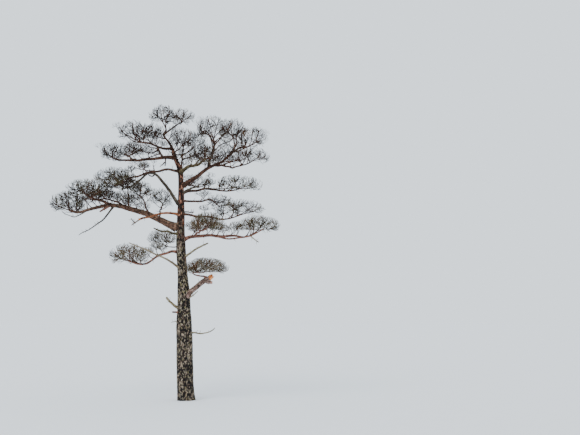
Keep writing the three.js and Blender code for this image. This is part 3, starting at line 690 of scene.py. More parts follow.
def ends_at(space, shares, depths, finish_parts):
    """Ends of twigs at shares of a space's half sizes, and their directions there, partly outward and partly
    up."""
    outward = (shares * space.half) @ space.axes
    away, up = finish_parts
    return space.middle + depths * outward, unit(away * unit(outward) + up * UP)


def lead_of(along, chord):
    """The way in which a twig leaves its carrier, partly along it and partly towards its own end."""
    return unit(LEAD_ALONG * along + LEAD_AHEAD * chord)


def best_fork(twigs, end, shortest):
    """The point on the twigs so far from which an end is best reached: near it, without a sharp turn."""
    inner = slice(FIRST_FORK, TWIG_STEPS)
    places = np.concatenate([twig.points[inner] for twig in twigs])
    along = np.concatenate([twig.directions[inner] for twig in twigs])
    forks = np.concatenate([twig.forks[inner] for twig in twigs])
    chords = end - places
    spans = np.linalg.norm(chords, axis=1)
    turns = 1 - np.sum(chords * along, axis=1) / spans
    costs = spans * (1 + TURN_COST * turns) * (1 + CROWD_COST * forks)
    costs[spans <= shortest] = np.inf
    best = int(np.argmin(costs))
    twig, k = divmod(best, TWIG_STEPS - FIRST_FORK)
    return twigs[twig], k + FIRST_FORK, chords[best] / spans[best], spans[best]


def near_wood(space, own_stem):
    """The balls of all wood near a space: trunk, limbs, stubs and the masses' stems, but for its own."""
    reach = np.linalg.norm(space.middle - space.foot) + max(space.half) + NEAR_WOOD
    near = np.linalg.norm(WOOD_MIDDLES - space.middle, axis=1) < reach + WOOD_RADII
    others = [stem for stem in stems if stem is not own_stem]
    balls = np.concatenate([WOOD_MIDDLES[near]] + [stem.balls for stem in others])
    return balls, np.concatenate([WOOD_RADII[near]] + [stem.ball_radii for stem in others])


def grow_twigs(space, stem, seed, levels, index=None):
    """The thicker twigs of a space, level by level. Those of a mass grow as the frame's own do, with one
    level more, which doesn't fork from the stem, and keep to its space."""
    draw = seeded_draws(seed)
    wood = near_wood(space, stem)
    twigs = [stem]
    for number, level in enumerate(levels, 1):
        count = math.floor(level.count * space.full + 0.5)
        turn = 2 * math.pi * draw()
        in_frame = index is not None and level in FRAME_LEVELS
        space_margin = SPACE_MARGIN if in_frame else BRUSH_MARGIN
        carriers = list(twigs) if number <= len(FRAME_LEVELS) else twigs[1:]
        for k in range(count):
            shares = spread_round(level, k, count, turn, draw(), draw())
            end, finish = ends_at(space, shares, between(*level.depths, draw()), TWIG_FINISH)
            sway = draw() - 0.5
            carrier, step, chord, span = best_fork(carriers, end, level.shortest)
            lead = lead_of(carrier.directions[step], chord)
            swing = np.cross(chord, UP) * SWAY_SHARE * sway * span
            points = bent_line(carrier.points[step], lead, end, finish, swing)
            points = pulled_in(space, points, SPACE_LIMIT)
            first = min(level.radii[0], CHILD_SHARE * carrier.radii[step])
            twig = Twig(points, lead, first, min(level.radii[1], END_SHARE * first), number)
            if index is not None and not are_own(index, points[TWIG_FREE_STEP:], space_margin).all():
                continue
            if not twig.is_clear(*wood, WOOD_FREE_STEP, WOOD_MARGIN):
                continue
            others = [other for other in twigs if other is not carrier]
            if in_frame and others:
                balls = np.concatenate([other.balls for other in others])
                radii = np.concatenate([other.ball_radii for other in others])
                if not twig.is_clear(balls, radii, TWIG_FREE_STEP, TWIG_MARGIN):
                    continue
            carrier.forks[step] += 1
            twigs.append(twig)
    return twigs


# The tones of twigs: their colours as seen in daylight. Thicker twigs have one of the first two.
TONES = {
    "limb_red": (66, 40, 30),
    "limb_brown": (54, 38, 29),
    "deep": (34, 25, 19),
    "brown": (50, 36, 27),
    "grey": (68, 58, 48),
    "pale": (122, 110, 92),
    "olive": (76, 68, 43),
    "tan": (94, 68, 46),
}

# The kinds of brush: how often each tone comes in it, how many fine twigs it has, and how wide they are
Kind = namedtuple("Kind", "tones share width")
KINDS = {
    "dense": Kind({"deep": 4, "brown": 3.5, "grey": 1, "olive": 2.5, "tan": 0.5}, 1.05, 1),
    "mossy": Kind({"deep": 3, "brown": 3.5, "grey": 2, "olive": 2.5, "tan": 1}, 0.8, 1),
    "dark": Kind({"deep": 5, "brown": 4, "grey": 1.5, "tan": 0.5}, 0.58, 1.22),
    "grey": Kind({"deep": 3.5, "brown": 3.5, "grey": 2.5, "pale": 0.5, "tan": 1}, 0.53, 1.22),
    "olive": Kind({"deep": 1.5, "brown": 3, "grey": 2, "olive": 3.5, "tan": 1.5, "pale": 0.5}, 0.66, 1.18),
    "haze": Kind({"brown": 1, "grey": 2, "olive": 3.5, "tan": 2.5, "pale": 4}, 1.3, 0.8),
    "mist": Kind({"brown": 0.5, "grey": 1.5, "olive": 3.5, "tan": 2.5, "pale": 5}, 2.4, 0.72),
}

Brush = namedtuple("Brush", "points radii tones")


def brush_of(twigs, tones):
    return Brush(np.array([twig.points for twig in twigs]), np.array([twig.radii for twig in twigs]), tones)


def brush_ends(space, level, count, tips, rng):
    """Ends of fine twigs all round a space: near its skin over the tips of thicker twigs, deeper between."""
    draws = rng.random((count, 4))
    turn = 2 * math.pi * rng.random()
    shares = spread_round(level, np.arange(count), count, turn, draws[:, 0], draws[:, 1])
    away = (1 - (shares @ tips.T).max(axis=1)) / (1 - math.cos(math.radians(CLUMP_SPREAD_DEG)))
    sink = smooth(0, 1, away)
    kept = draws[:, 3] > GAP_SHARE * sink
    cubes = between(level.depths[0] ** 3, level.depths[1] ** 3, draws[:, 2])
    depths = cubes ** (1 / 3) * (1 - CLUMP_SINK * sink)
    ends, finish = ends_at(space, shares, depths[:, None], FINE_FINISH)
    return ends[kept], finish[kept]


def forks_for(ends, finish, places, along, shortest, rng):
    """For each end, the number of the place from which it is best reached: near it, below it, not crowded."""
    chosen = np.zeros(len(ends), dtype=int)
    crowd = np.zeros(len(places), dtype=np.float32)
    places = places.astype(np.float32)
    along = along.astype(np.float32)
    for first in range(0, len(ends), FORK_BLOCK):
        block = slice(first, first + FORK_BLOCK)
        chords = ends[block, None].astype(np.float32) - places
        spans = np.linalg.norm(chords, axis=2)
        turns = 1 - np.einsum("ijk,jk->ij", chords, along) / np.maximum(spans, 1)
        bends = 1 - np.einsum("ijk,ik->ij", chords, finish[block].astype(np.float32)) / np.maximum(spans, 1)
        costs = spans * (1 + TURN_COST * turns) * (1 + FORK_PLAY * rng.random(spans.shape, dtype=np.float32))
        costs *= (1 + FORK_CROWD_COST * crowd) * (1 + FORK_UPRIGHT_COST * bends)
        costs[spans <= shortest] = np.inf
        chosen[block] = np.argmin(costs, axis=1)
        np.add.at(crowd, chosen[block], 1)
    return chosen


def grow_fine(space, level, carriers, tips, rng):
    """The fine twigs of a space, all at once, forking from the thicker ones."""
    kind = KINDS[space.kind]
    inner = slice(1, -1)
    places = np.concatenate([brush.points[:, inner].reshape(-1, 3) for brush in carriers])
    ahead = np.concatenate([brush.points[:, 2:].reshape(-1, 3) for brush in carriers])
    along = np.concatenate([directions_of(brush.points)[:, inner].reshape(-1, 3) for brush in carriers])
    radii = np.concatenate([brush.radii[:, inner].ravel() for brush in carriers])
    tones = np.concatenate([np.repeat(brush.tones, brush.points.shape[1] - 2) for brush in carriers])
    count = math.floor(level.count * space.full * kind.share + 0.5)
    ends, finish = brush_ends(space, level, count, tips, rng)
    fork = forks_for(ends, finish, places, along, level.shortest, rng)
    starts = between(places[fork], ahead[fork], rng.random((len(ends), 1)))
    chords = ends - starts
    spans = np.linalg.norm(chords, axis=1, keepdims=True)
    chords = chords / spans
    swing = np.cross(chords, UP) * SWAY_SHARE * (rng.random((len(ends), 1)) - 0.5) * spans
    points = bent_line(starts, lead_of(along[fork], chords), ends, finish, swing, FINE_STEPS)
    points = pulled_in(space, points, level.depths[1])
    first = np.minimum(kind.width * level.radii[0], FINE_CHILD_SHARE * radii[fork])
    last = np.minimum(kind.width * level.radii[1], END_SHARE * first)
    widths = between(first[:, None], last[:, None], np.linspace(0, 1, FINE_STEPS + 1))
    return Brush(points, widths, tones[fork])


def grow_tufts(fine, rng):
    """Twiglets along the outer part of fine twigs, bent upward."""
    segments = fine.points.shape[1] - 1
    host = np.repeat(np.arange(len(fine.points)), TUFT_COUNT)
    rank = np.tile(np.arange(TUFT_COUNT), len(fine.points))
    share = between(TUFT_FROM, 1, (rank + rng.random(len(host))) / TUFT_COUNT)
    step = np.minimum((share * segments).astype(int), segments - 1)
    part = (share * segments - step)[:, None]
    starts = between(fine.points[host, step], fine.points[host, step + 1], part)
    along = unit(fine.points[host, step + 1] - fine.points[host, step])
    aside = unit(np.cross(along, rng.normal(size=along.shape)))
    lead = unit(along + TUFT_SPREADS[0] * aside)
    finish = unit(along + TUFT_SPREADS[1] * aside + TUFT_RISE * UP)
    ends = starts + rng.uniform(*TUFT_LENGTHS, (len(host), 1)) * unit(lead + finish)
    points = bent_line(starts, lead, ends, finish, 0.0, TUFT_STEPS)
    first = np.minimum(TUFT_RADII[0], TUFT_CHILD_SHARE * fine.radii[host, step])
    widths = first[:, None] * np.linspace(1, TUFT_RADII[1] / TUFT_RADII[0], TUFT_STEPS + 1)
    return Brush(points, widths, fine.tones[host])


def grow_brush(space, stem, twigs, fine_level, seed, index=None):
    """The last of the thicker twigs of a space, its fine twigs and its tufts, in the tones of its brush."""
    rng = np.random.default_rng(seed)
    wood = near_wood(space, stem)
    tips = np.array([twig.points[-1] for twig in twigs if twig.level in (1, 2)])
    tips = unit((tips - space.middle) @ space.axes.T / space.half)
    odds = np.array([KINDS[space.kind].tones.get(name, 0.0) for name in TONES])
    last = max(twig.level for twig in twigs)
    carriers = []
    for levels in ((last,), (last - 1, last - 2)):
        chosen = [twig for twig in twigs if twig.level in levels]
        carriers.append(brush_of(chosen, rng.choice(len(TONES), size=len(chosen), p=odds / odds.sum())))

    def picked(brush, allowed=True):
        """The twigs of a brush that are allowed and stay clear of the wood."""
        clear = are_clear(brush.points[:, 1:], brush.radii[:, 1:], *wood, WOOD_MARGIN / 2).all(axis=1)
        return Brush(*(values[clear & allowed] for values in brush))

    fine = grow_fine(space, fine_level, carriers, tips, rng)
    if index is None:
        fine = picked(fine, depths_in_masses(fine.points[:, -1]).min(axis=-1) > SPRAY_FREE_DEPTH)
    else:
        fine = picked(fine, are_own(index, fine.points[:, 1:], BRUSH_MARGIN).all(axis=1))
    tufts = grow_tufts(fine, rng)
    limits = rng.uniform(*TUFT_LIMITS, len(tufts.points))[:, None]
    tufts = tufts._replace(points=pulled_in(space, tufts.points, limits))
    return [carriers[0], fine, picked(tufts)]


def spray_spaces(sprays):
    """The spaces of one bough's side sprays, to either side of it in turn, where no mass fills the place."""
    made = []
    for k in range(sprays.count):
        share = between(sprays.first, sprays.last, (k + 0.5) / sprays.count)
        middle, along, radius = place_on(sprays.on, share)
        bearing = 180 * k if sprays.on == "trunk" else limb_named[sprays.on].bearing
        heading = heading_of(bearing + SPRAY_BEARINGS[k % len(SPRAY_BEARINGS)])
        size = sprays.size * between(*SPRAY_SIZES, k * GOLDEN_SHARE % 1)
        foot = middle + SPRAY_ROOT_SHARE * radius * unit(heading - np.dot(heading, along) * along)
        middle = foot + SPRAY_AWAY_SHARE * size * (heading + UP)
        if depths_in_masses(middle).min() < SPRAY_FREE_DEPTH:
            continue
        lead = unit(np.dot(SPRAY_LEAD, [along, heading, UP]))
        girth = min(SPRAY_STEM_RADIUS, SPRAY_STEM_SHARE * radius)
        half, full = size * SPRAY_HALF_SHARES, size / SPRAY_FULL_SIZE
        made.append(Space(foot, lead, girth, middle, axes_of(heading), half, full, sprays.kind))
    return made


# Meshes from arrays

# The rings of a line begin from another side of it when the line is steeper than this
STEEP = 0.8

# The sides of the thinnest tubes, such as dead spurs and splinters
THIN_SIDES = 4


def rings_round(points, along, across, reach, sides):
    """Rings of points round many lines of points, at a reach from them. Across says about where each line's
    first ring begins, and the next rings follow without a twist."""
    angles = 2 * math.pi * np.arange(sides) / sides
    rings = np.zeros((*points.shape[:2], sides, 3))
    for k in range(points.shape[1]):
        across = unit(across - np.sum(across * along[:, k], axis=1, keepdims=True) * along[:, k])
        other = np.cross(along[:, k], across)
        around = np.cos(angles)[:, None] * across[:, None] + np.sin(angles)[:, None] * other[:, None]
        rings[:, k] = points[:, k, None] + reach[:, k, :, None] * around
    return rings


def ring_quads(rings, sides):
    """The quads between each ring of a grid and the next."""
    ring = np.arange(rings - 1)[:, None] * sides
    j = np.arange(sides)
    after = (j + 1) % sides
    return np.stack([ring + j, ring + after, ring + after + sides, ring + j + sides], axis=-1)


def fan(ring, sides, point):
    """The triangles from a ring, given by the number of its first point, to one point beyond it."""
    j = np.arange(sides)
    return np.stack([ring + j, ring + (j + 1) % sides, np.full(sides, point)], axis=-1)


def tube_batch(points, radii, sides):
    """Pointed tubes along many lines of points at once, as vertices, quads and triangles."""
    rings = points.shape[1] - 1
    along = directions_of(points)
    across = np.where(np.abs(along[:, 0, 2:]) > STEEP, EAST, UP)
    body = rings_round(points[:, :-1], along, across, radii[:, :-1, None], sides)
    vertices = np.concatenate([body.reshape(len(points), -1, 3), points[:, -1:]], axis=1)
    tips = fan((rings - 1) * sides, sides, rings * sides)
    cap = np.stack([np.zeros(sides - 2, int), np.arange(2, sides), np.arange(1, sides - 1)], axis=-1)
    first = (np.arange(len(points)) * vertices.shape[1])[:, None, None]
    quads = ring_quads(rings, sides).reshape(1, -1, 4) + first
    return vertices.reshape(-1, 3), quads, np.concatenate([tips, cap])[None] + first


class Shape:
    """Vertices, faces and their material numbers, gathered for one mesh."""

    def __init__(self):
        self.vertices = []
        self.count = 0
        self.faces = {4: [], 3: []}
        self.tones = {4: [], 3: []}

    def add(self, vertices, *groups, tones=(0,)):
        """Adds vertices and groups of faces on them. Each group is shared out evenly among the tones."""
        for faces in groups:
            corners = faces.shape[-1]
            faces = faces.reshape(-1, corners)
            self.faces[corners].append(faces + self.count)
            self.tones[corners].append(np.repeat(tones, len(faces) // len(tones)))
        self.vertices.append(vertices)
        self.count += len(vertices)

    def add_tubes(self, points, radii, tones, sides):
        if len(points):
            self.add(*tube_batch(points, radii, sides), tones=tones)

    def to_object(self, name, materials, smooth_shaded=True, **attributes):
        """The mesh as an object, with values for its vertices that its materials read by name."""
        quads = np.concatenate(self.faces[4])
        triangles = np.concatenate(self.faces[3])
        mesh = bpy.data.meshes.new(name)
        mesh.vertices.add(self.count)
        mesh.vertices.foreach_set("co", (np.concatenate(self.vertices) * METRES).astype(np.float32).ravel())
        corners = np.concatenate([quads.ravel(), triangles.ravel()])
        mesh.loops.add(len(corners))
        mesh.loops.foreach_set("vertex_index", corners.astype(np.int32))
        mesh.polygons.add(len(quads) + len(triangles))
        starts = np.concatenate([np.arange(len(quads)) * 4, quads.size + np.arange(len(triangles)) * 3])
        mesh.polygons.foreach_set("loop_start", starts.astype(np.int32))
        tones = np.concatenate(self.tones[4] + self.tones[3]).astype(np.int32)
        mesh.polygons.foreach_set("material_index", tones)
        mesh.polygons.foreach_set("use_smooth", np.full(len(tones), smooth_shaded))
        for label, values in attributes.items():
            made = mesh.attributes.new(label, "FLOAT", "POINT")
            made.data.foreach_set("value", np.asarray(values, dtype=np.float32))
        mesh.update(calc_edges=True)
        for material in materials:
            mesh.materials.append(material)
        piece = bpy.data.objects.new(name, mesh)
        bpy.context.scene.collection.objects.link(piece)
        return piece


# Bark relief

# The cells of a bark's pattern: how many go round, how tall a row is, and the seed of their places
Cells = namedtuple("Cells", "columns row seed")
PLATES = Cells(15, 240, 21)
SCALES = Cells(44, 86, 23)
FLAKES = Cells(11, 120, 22)
CELL_EDGE = 0.1

# The trunk's mesh, the heights between which its plates turn into flakes, and waves as heights and sizes: its
# bulges, the wandering of the pattern round it and up it, and that of the border between plates and flakes
TRUNK_SIDES = 192
TRUNK_RINGS = 510
TRUNK_TIP_RISE = 10
FLAKED_FROM = (6200, 7300)
BULGES = ((0.028, 260),)
BULGE_STRETCH = np.array([1, 1, 0.45])
ROUND_WAVES = ((0.028, 110), (0.014, 45))
RISE_WAVES = ((95, 150), (34, 55))
BORDER_WAVES = ((420, 330),)
WAVE_SHIFT = 311
PATTERN_START = 100

# Cracks, by how far inside a cell they end; the share of a crack's depth at which the even surface lies; the
# depth of cracks, the step between neighbouring cells and the grain on them
PLATE_CRACK = (0.02, 0.24)
SCALE_CRACK = (0.0, 0.3)
SCALE_LEVEL = 0.45
SCALE_VALUE_SHARE = 0.65
FLAKE_CRACK = (0.02, 0.2)
PLATE_EVEN = 0.7
FLAKE_EVEN = 0.6
PLATE_DEPTHS = (15, 9, 2.2)
FLAKE_DEPTHS = (3.2, 3, 0.9)
GRAIN_SIZE = 28
FULL_RELIEF_RADIUS = 330
LEAST_RELIEF = 0.3


def plate_pattern(turns, lengths, cells):
    """Irregular plates on an unrolled surface. Returns how far inside its plate each point lies, from 0 in a
    crack, and a value of its own for each plate."""
    x = turns * cells.columns
    y = lengths / cells.row + 2
    column, level = np.floor(x).astype(int), np.floor(y).astype(int)
    jitter = np.random.default_rng(cells.seed).random((level.max() + 3, cells.columns, 3))
    nearest = np.full(x.shape, np.inf)
    second = np.full(x.shape, np.inf)
    value = np.zeros(x.shape)
    for over, aside in np.ndindex(3, 3):
        row, place = level + over - 1, column + aside - 1
        own = jitter[row, place % cells.columns]
        across, along = (between(CELL_EDGE, 1 - CELL_EDGE, own[..., axis]) for axis in (0, 1))
        gap = np.hypot(place + across - x, row + along - y)
        closer = gap < nearest
        second = np.where(closer, nearest, np.minimum(second, gap))
        value = np.where(closer, own[..., 2], value)
        nearest = np.where(closer, gap, nearest)
    return second - nearest, value


def grid_faces(rings, sides):
    """The quads of a grid of rings, and the triangles that close its two ends round a middle point each."""
    foot = fan(0, sides, rings * sides)[:, [1, 0, 2]]
    tip = fan((rings - 1) * sides, sides, rings * sides + 1)
    return ring_quads(rings, sides), np.concatenate([foot, tip])


def add_surface(shape, points, along, reach, tip, inside, value):
    """Adds a closed surface round a line. Returns for its vertices how far inside its plate each lies and the
    value of the plate, with even values for the two middle points that close it."""
    across = EAST if abs(along[0, 0]) < STEEP else NORTH
    grid = rings_round(points[None], along[None], across[None], reach[None], reach.shape[1])
    shape.add(np.concatenate([grid.reshape(-1, 3), points[:1], tip[None]]), *grid_faces(*reach.shape))
    return np.append(inside, (1, 1)), np.append(value, (0.5, 0.5))


def trunk_piece(material):
    """The trunk, with deep plates low down, split into scales, and thin flakes higher up."""
    heights = TRUNK_HEIGHT * np.linspace(0, 1, TRUNK_RINGS + 1)
    middles, radii = trunk_line(heights)
    radii = radii[:, None]
    turns, tall = np.meshgrid(np.arange(TRUNK_SIDES) / TRUNK_SIDES, heights)
    angles = 2 * math.pi * turns
    flare = np.exp(-tall / FLARE_HEIGHT) * (FLARE_SHARE + LOBE_SHARE * np.cos(ROOT_LOBES * angles))
    place = np.stack([radii * np.cos(angles), radii * np.sin(angles), tall], axis=-1)
    wound = (turns + waves(place, ROUND_WAVES)) % 1
    raised = tall + waves(place + WAVE_SHIFT, RISE_WAVES) + PATTERN_START
    plates, plate_value = plate_pattern(wound, raised, PLATES)
    scales, scale_value = plate_pattern(wound, raised, SCALES)
    flakes, flake_value = plate_pattern(wound, raised, FLAKES)
    plated = smooth(*PLATE_CRACK, plates) * between(SCALE_LEVEL, 1, smooth(*SCALE_CRACK, scales))
    flaked = smooth(*FLAKE_CRACK, flakes)
    plate_value = between(plate_value, scale_value, SCALE_VALUE_SHARE)
    grain = noise(place, GRAIN_SIZE)
    depth, step, rough = PLATE_DEPTHS
    plate_relief = depth * (plated - PLATE_EVEN) + step * (plate_value - 0.5) * plated + rough * grain
    depth, step, rough = FLAKE_DEPTHS
    flake_relief = depth * (flaked - FLAKE_EVEN) + step * (flake_value - 0.5) + rough * grain
    upper = smooth(*FLAKED_FROM, tall + waves(place, BORDER_WAVES))
    shrink = np.clip(radii / FULL_RELIEF_RADIUS, LEAST_RELIEF, 1)
    bulges = waves(place * BULGE_STRETCH, BULGES)
    reach = radii * (1 + flare + bulges) + shrink * between(plate_relief, flake_relief, upper)
    inside, value = between(plated, flaked, upper), between(plate_value, flake_value, upper)
    upright = np.broadcast_to(UP, middles.shape)
    shape = Shape()
    tip = middles[-1] + TRUNK_TIP_RISE * UP
    crack, value = add_surface(shape, middles, upright, reach, tip, inside, value)
    return shape.to_object("trunk_bark", [material], crack=crack, plate=value)


# Rings stand closer on a thick limb. Sides and flakes have about the same width on every limb.
THICK_LIMB = 150
THICK_RING_STEP = 13
LIMB_RING_STEP = 20
STEM_RINGS = 24
SIDE_WIDTH = 13
SIDE_LIMITS = (12, 56)
LIMB_FLAKE_WIDTH = 70
LIMB_FLAKE_ROW = 95
LIMB_FLAKE_START = 60
LIMB_FLAKE_SEED = 40
LEAST_COLUMNS = 4

# A limb's collar as a share of its radius and the length over which it fades; what it keeps of its carrier's
# radius inside it; its knobs and ridges as shares of its radius with their sizes as shares of its thickness
LIMB_COLLAR = 0.3
COLLAR_FADE = 0.9
INSIDE_SHARE = 0.85
KNOBS = (0.07, 1.6)
RIDGES = (0.05, 0.55)
RIDGE_STRETCH = np.array([1, 1, 0.6])
LIMB_STRETCH = 0.4
LIMB_SHIFT = 1300
LIMB_CRACK = (0.02, 0.25)
LIMB_DEPTHS = (5, 3.5)
FULL_RELIEF_LIMB = 90
TIP_NARROWING = 0.5
TIP_REACH = 0.35


def limb_path(limb):
    """A limb's fine middle line and radii, carried on along the stem of the mass at its tip."""
    step = THICK_RING_STEP if limb.thick[0] > THICK_LIMB else LIMB_RING_STEP
    shares = np.linspace(0, 1, round(math.hypot(limb.reach, limb.climb) / step) + 1)
    points = limb_line(limb, shares)
    radii = limb_radius(limb, shares)
    for mass, space in zip(MASSES, spaces):
        if mass.on == limb.name:
            points = np.concatenate([points, stem_points(space, STEM_RINGS)[1:]])
            radii = np.concatenate([radii, space.girth * np.linspace(1, STEM_TAPER, STEM_RINGS + 1)[1:]])
    return points, radii


def add_limb(shape, points, radii, carrier_radius, seed):
    """Adds a limb with a collar where it leaves its carrier, knobs, ridges and thin flakes. Returns what
    add_surface does."""
    points = crooked(points)
    along = directions_of(points)
    lengths = np.append(0, np.cumsum(np.linalg.norm(np.diff(points, axis=0), axis=1)))
    thick = radii.max()
    collar = LIMB_COLLAR * np.exp(-np.maximum(lengths - carrier_radius, 0) / (COLLAR_FADE * radii[0]))
    inside = np.minimum(radii, INSIDE_SHARE * carrier_radius)
    radii = np.where(lengths < carrier_radius, inside, radii * (1 + collar))
    sides = int(np.clip(round(2 * math.pi * thick / SIDE_WIDTH), *SIDE_LIMITS))
    turns, tall = np.meshgrid(np.arange(sides) / sides, lengths)
    angles = 2 * math.pi * turns
    place = np.stack([thick * np.cos(angles), thick * np.sin(angles), tall * LIMB_STRETCH], axis=-1)
    place += LIMB_SHIFT * (seed + 1)
    knobs = KNOBS[0] * noise(place, KNOBS[1] * thick)
    ridges = RIDGES[0] * noise(place * RIDGE_STRETCH, RIDGES[1] * thick)
    columns = max(LEAST_COLUMNS, round(2 * math.pi * thick / LIMB_FLAKE_WIDTH))
    cells = Cells(columns, LIMB_FLAKE_ROW, LIMB_FLAKE_SEED + seed)
    flakes, value = plate_pattern(turns, tall + LIMB_FLAKE_START, cells)
    flaked = smooth(*LIMB_CRACK, flakes)
    depth, step = LIMB_DEPTHS
    relief = min(thick / FULL_RELIEF_LIMB, 1) * (depth * (flaked - FLAKE_EVEN) + step * (value - 0.5))
    reach = radii[:, None] * (1 + knobs + ridges) + relief
    reach[-1] *= TIP_NARROWING
    tip = points[-1] + along[-1] * radii[-1] * TIP_REACH
    return add_surface(shape, points, along, reach, tip, flaked, value)


# Short dead spurs on a limb: how many it has at least, the length of limb for one more, the shares of the
# limb between which they stand, their lengths, their radii and how these taper
SPURS_AT_LEAST = 5
SPUR_EVERY = 260
SPURS_BETWEEN = (0.16, 0.95)
SPURS_ON = 0.98
SPUR_LENGTHS = (45, 190)
SPUR_RADII = (4, 10)
SPUR_TAPER = np.array([1.25, 1.0, 0.8, 0.6])
SPUR_CHILD_SHARE = 0.35
SPUR_RISE = 0.5
SPUR_AHEAD = (0.35, 0.5)
SPUR_SINK = 0.6
SPUR_SEED = 300
SPUR_VALUE = 0.4


def spur_tubes(points, radii, seed, count):
    """The spurs' lines and radii. They stand mostly on the limb's sides and top, and bend along it and up."""
    rng = np.random.default_rng(SPUR_SEED + seed)
    points = crooked(points)
    places = np.sort(rng.uniform(*SPURS_BETWEEN, count) * (len(points) - 1)).astype(int)
    along = directions_of(points)[places]
    girth = radii[places, None]
    aside = unit(rng.normal(size=(count, 3)) + SPUR_RISE * UP)
    outward = unit(aside - np.sum(aside * along, axis=1, keepdims=True) * along)
    lengths = rng.uniform(*SPUR_LENGTHS, (count, 1))
    lead = unit(outward + SPUR_AHEAD[0] * along)
    finish = unit(outward + SPUR_AHEAD[1] * along + SPUR_RISE * UP)
    starts = points[places] + outward * girth * SPUR_SINK
    ends = starts + lengths * unit(lead + finish) + outward * girth * (1 - SPUR_SINK)
    widths = np.minimum(rng.uniform(*SPUR_RADII, count)[:, None], SPUR_CHILD_SHARE * girth)
    return bent_line(starts, lead, ends, finish, 0.0, len(SPUR_TAPER) - 1), widths * SPUR_TAPER


def limb_piece(limb, materials):
    """A limb's bark, with its spurs."""
    points, radii = limb_path(limb)
    shape = Shape()
    carrier_radius = place_on(limb.on, limb.at)[2]
    crack, value = add_limb(shape, points, radii, carrier_radius, seeds[limb.name])
    without_spurs = shape.count
    part = slice(round(len(points) * SPURS_ON))
    count = SPURS_AT_LEAST + round(limb.reach / SPUR_EVERY)
    shape.add_tubes(*spur_tubes(points[part], radii[part], seeds[limb.name], count), [0], THIN_SIDES)
    extra = shape.count - without_spurs
    crack = np.append(crack, np.ones(extra))
    value = np.append(value, np.full(extra, SPUR_VALUE))
    bark = materials[BARK_OF.get(limb.name, "red")]
    return shape.to_object("bark_" + limb.name, [bark], crack=crack, plate=value)


# Splinters that stand out of a torn end: their steps, how deep they start, how far out of the limb's middle
# they stand, their lengths and radii as shares of the end's, their taper, and how far their tips stray
SPLINTER_STEPS = 3
SPLINTER_DEPTH = 30
SPLINTER_SPREAD = 0.92
SPLINTER_LENGTHS = (0.35, 1)
SPLINTER_RADII = (0.16, 0.36)
SPLINTER_TAPER = 0.4
SPLINTER_STRAY = 9
SPLINTER_SEED = 90


def torn_end(name, limb, length, count, material):
    """The splinters of a broken limb's tip."""
    points = crooked(lines[limb.name])
    tip, along = points[-1], directions_of(points)[-1]
    radius = float(limb_radius(limb, 1))
    rng = np.random.default_rng(seeds[limb.name] + SPLINTER_SEED)
    side = unit(np.cross(along, UP))
    other = np.cross(along, side)
    spread = radius * SPLINTER_SPREAD * np.sqrt(rng.random((count, 1)))
    angles = 2 * math.pi * rng.random((count, 1))
    starts = tip + spread * (np.cos(angles) * side + np.sin(angles) * other) - SPLINTER_DEPTH * along
    ends = starts + along * rng.uniform(*SPLINTER_LENGTHS, (count, 1)) * length
    ends += rng.normal(size=(count, 3)) * SPLINTER_STRAY
    widths = rng.uniform(*SPLINTER_RADII, (count, 1)) * radius
    directions = np.tile(along, (count, 1))
    tubes = bent_line(starts, directions, ends, directions, 0.0, SPLINTER_STEPS)
    shape = Shape()
    shape.add_tubes(tubes, widths * np.linspace(1, SPLINTER_TAPER, SPLINTER_STEPS + 1), [0], THIN_SIDES)
    shades = np.repeat(rng.random(count), shape.count // count)
    return shape.to_object(name, [material], smooth_shaded=False, crack=np.ones(shape.count), plate=shades)


# Materials

SHEEN = 0.25
BUMP_STRENGTH = 0.7


def paint(red, green, blue):
    """A colour from its daylight values of 0 to 255."""
    def linear(value):
        share = value / 255
        return share / 12.92 if share <= 0.04045 else ((share + 0.055) / 1.055) ** 2.4
    return (linear(red), linear(green), linear(blue), 1.0)


class Field:
    """A value that changes over a material's surface, for sums and products with others and with numbers."""

    def __init__(self, finish, socket):
        self.finish = finish
        self.socket = socket

    def __add__(self, other):
        return self.finish.maths("ADD", self, other)

    def __sub__(self, other):
        return self.finish.maths("SUBTRACT", self, other)

    def __rsub__(self, other):
        return self.finish.maths("SUBTRACT", other, self)

    def __mul__(self, other):
        return self.finish.maths("MULTIPLY", self, other)


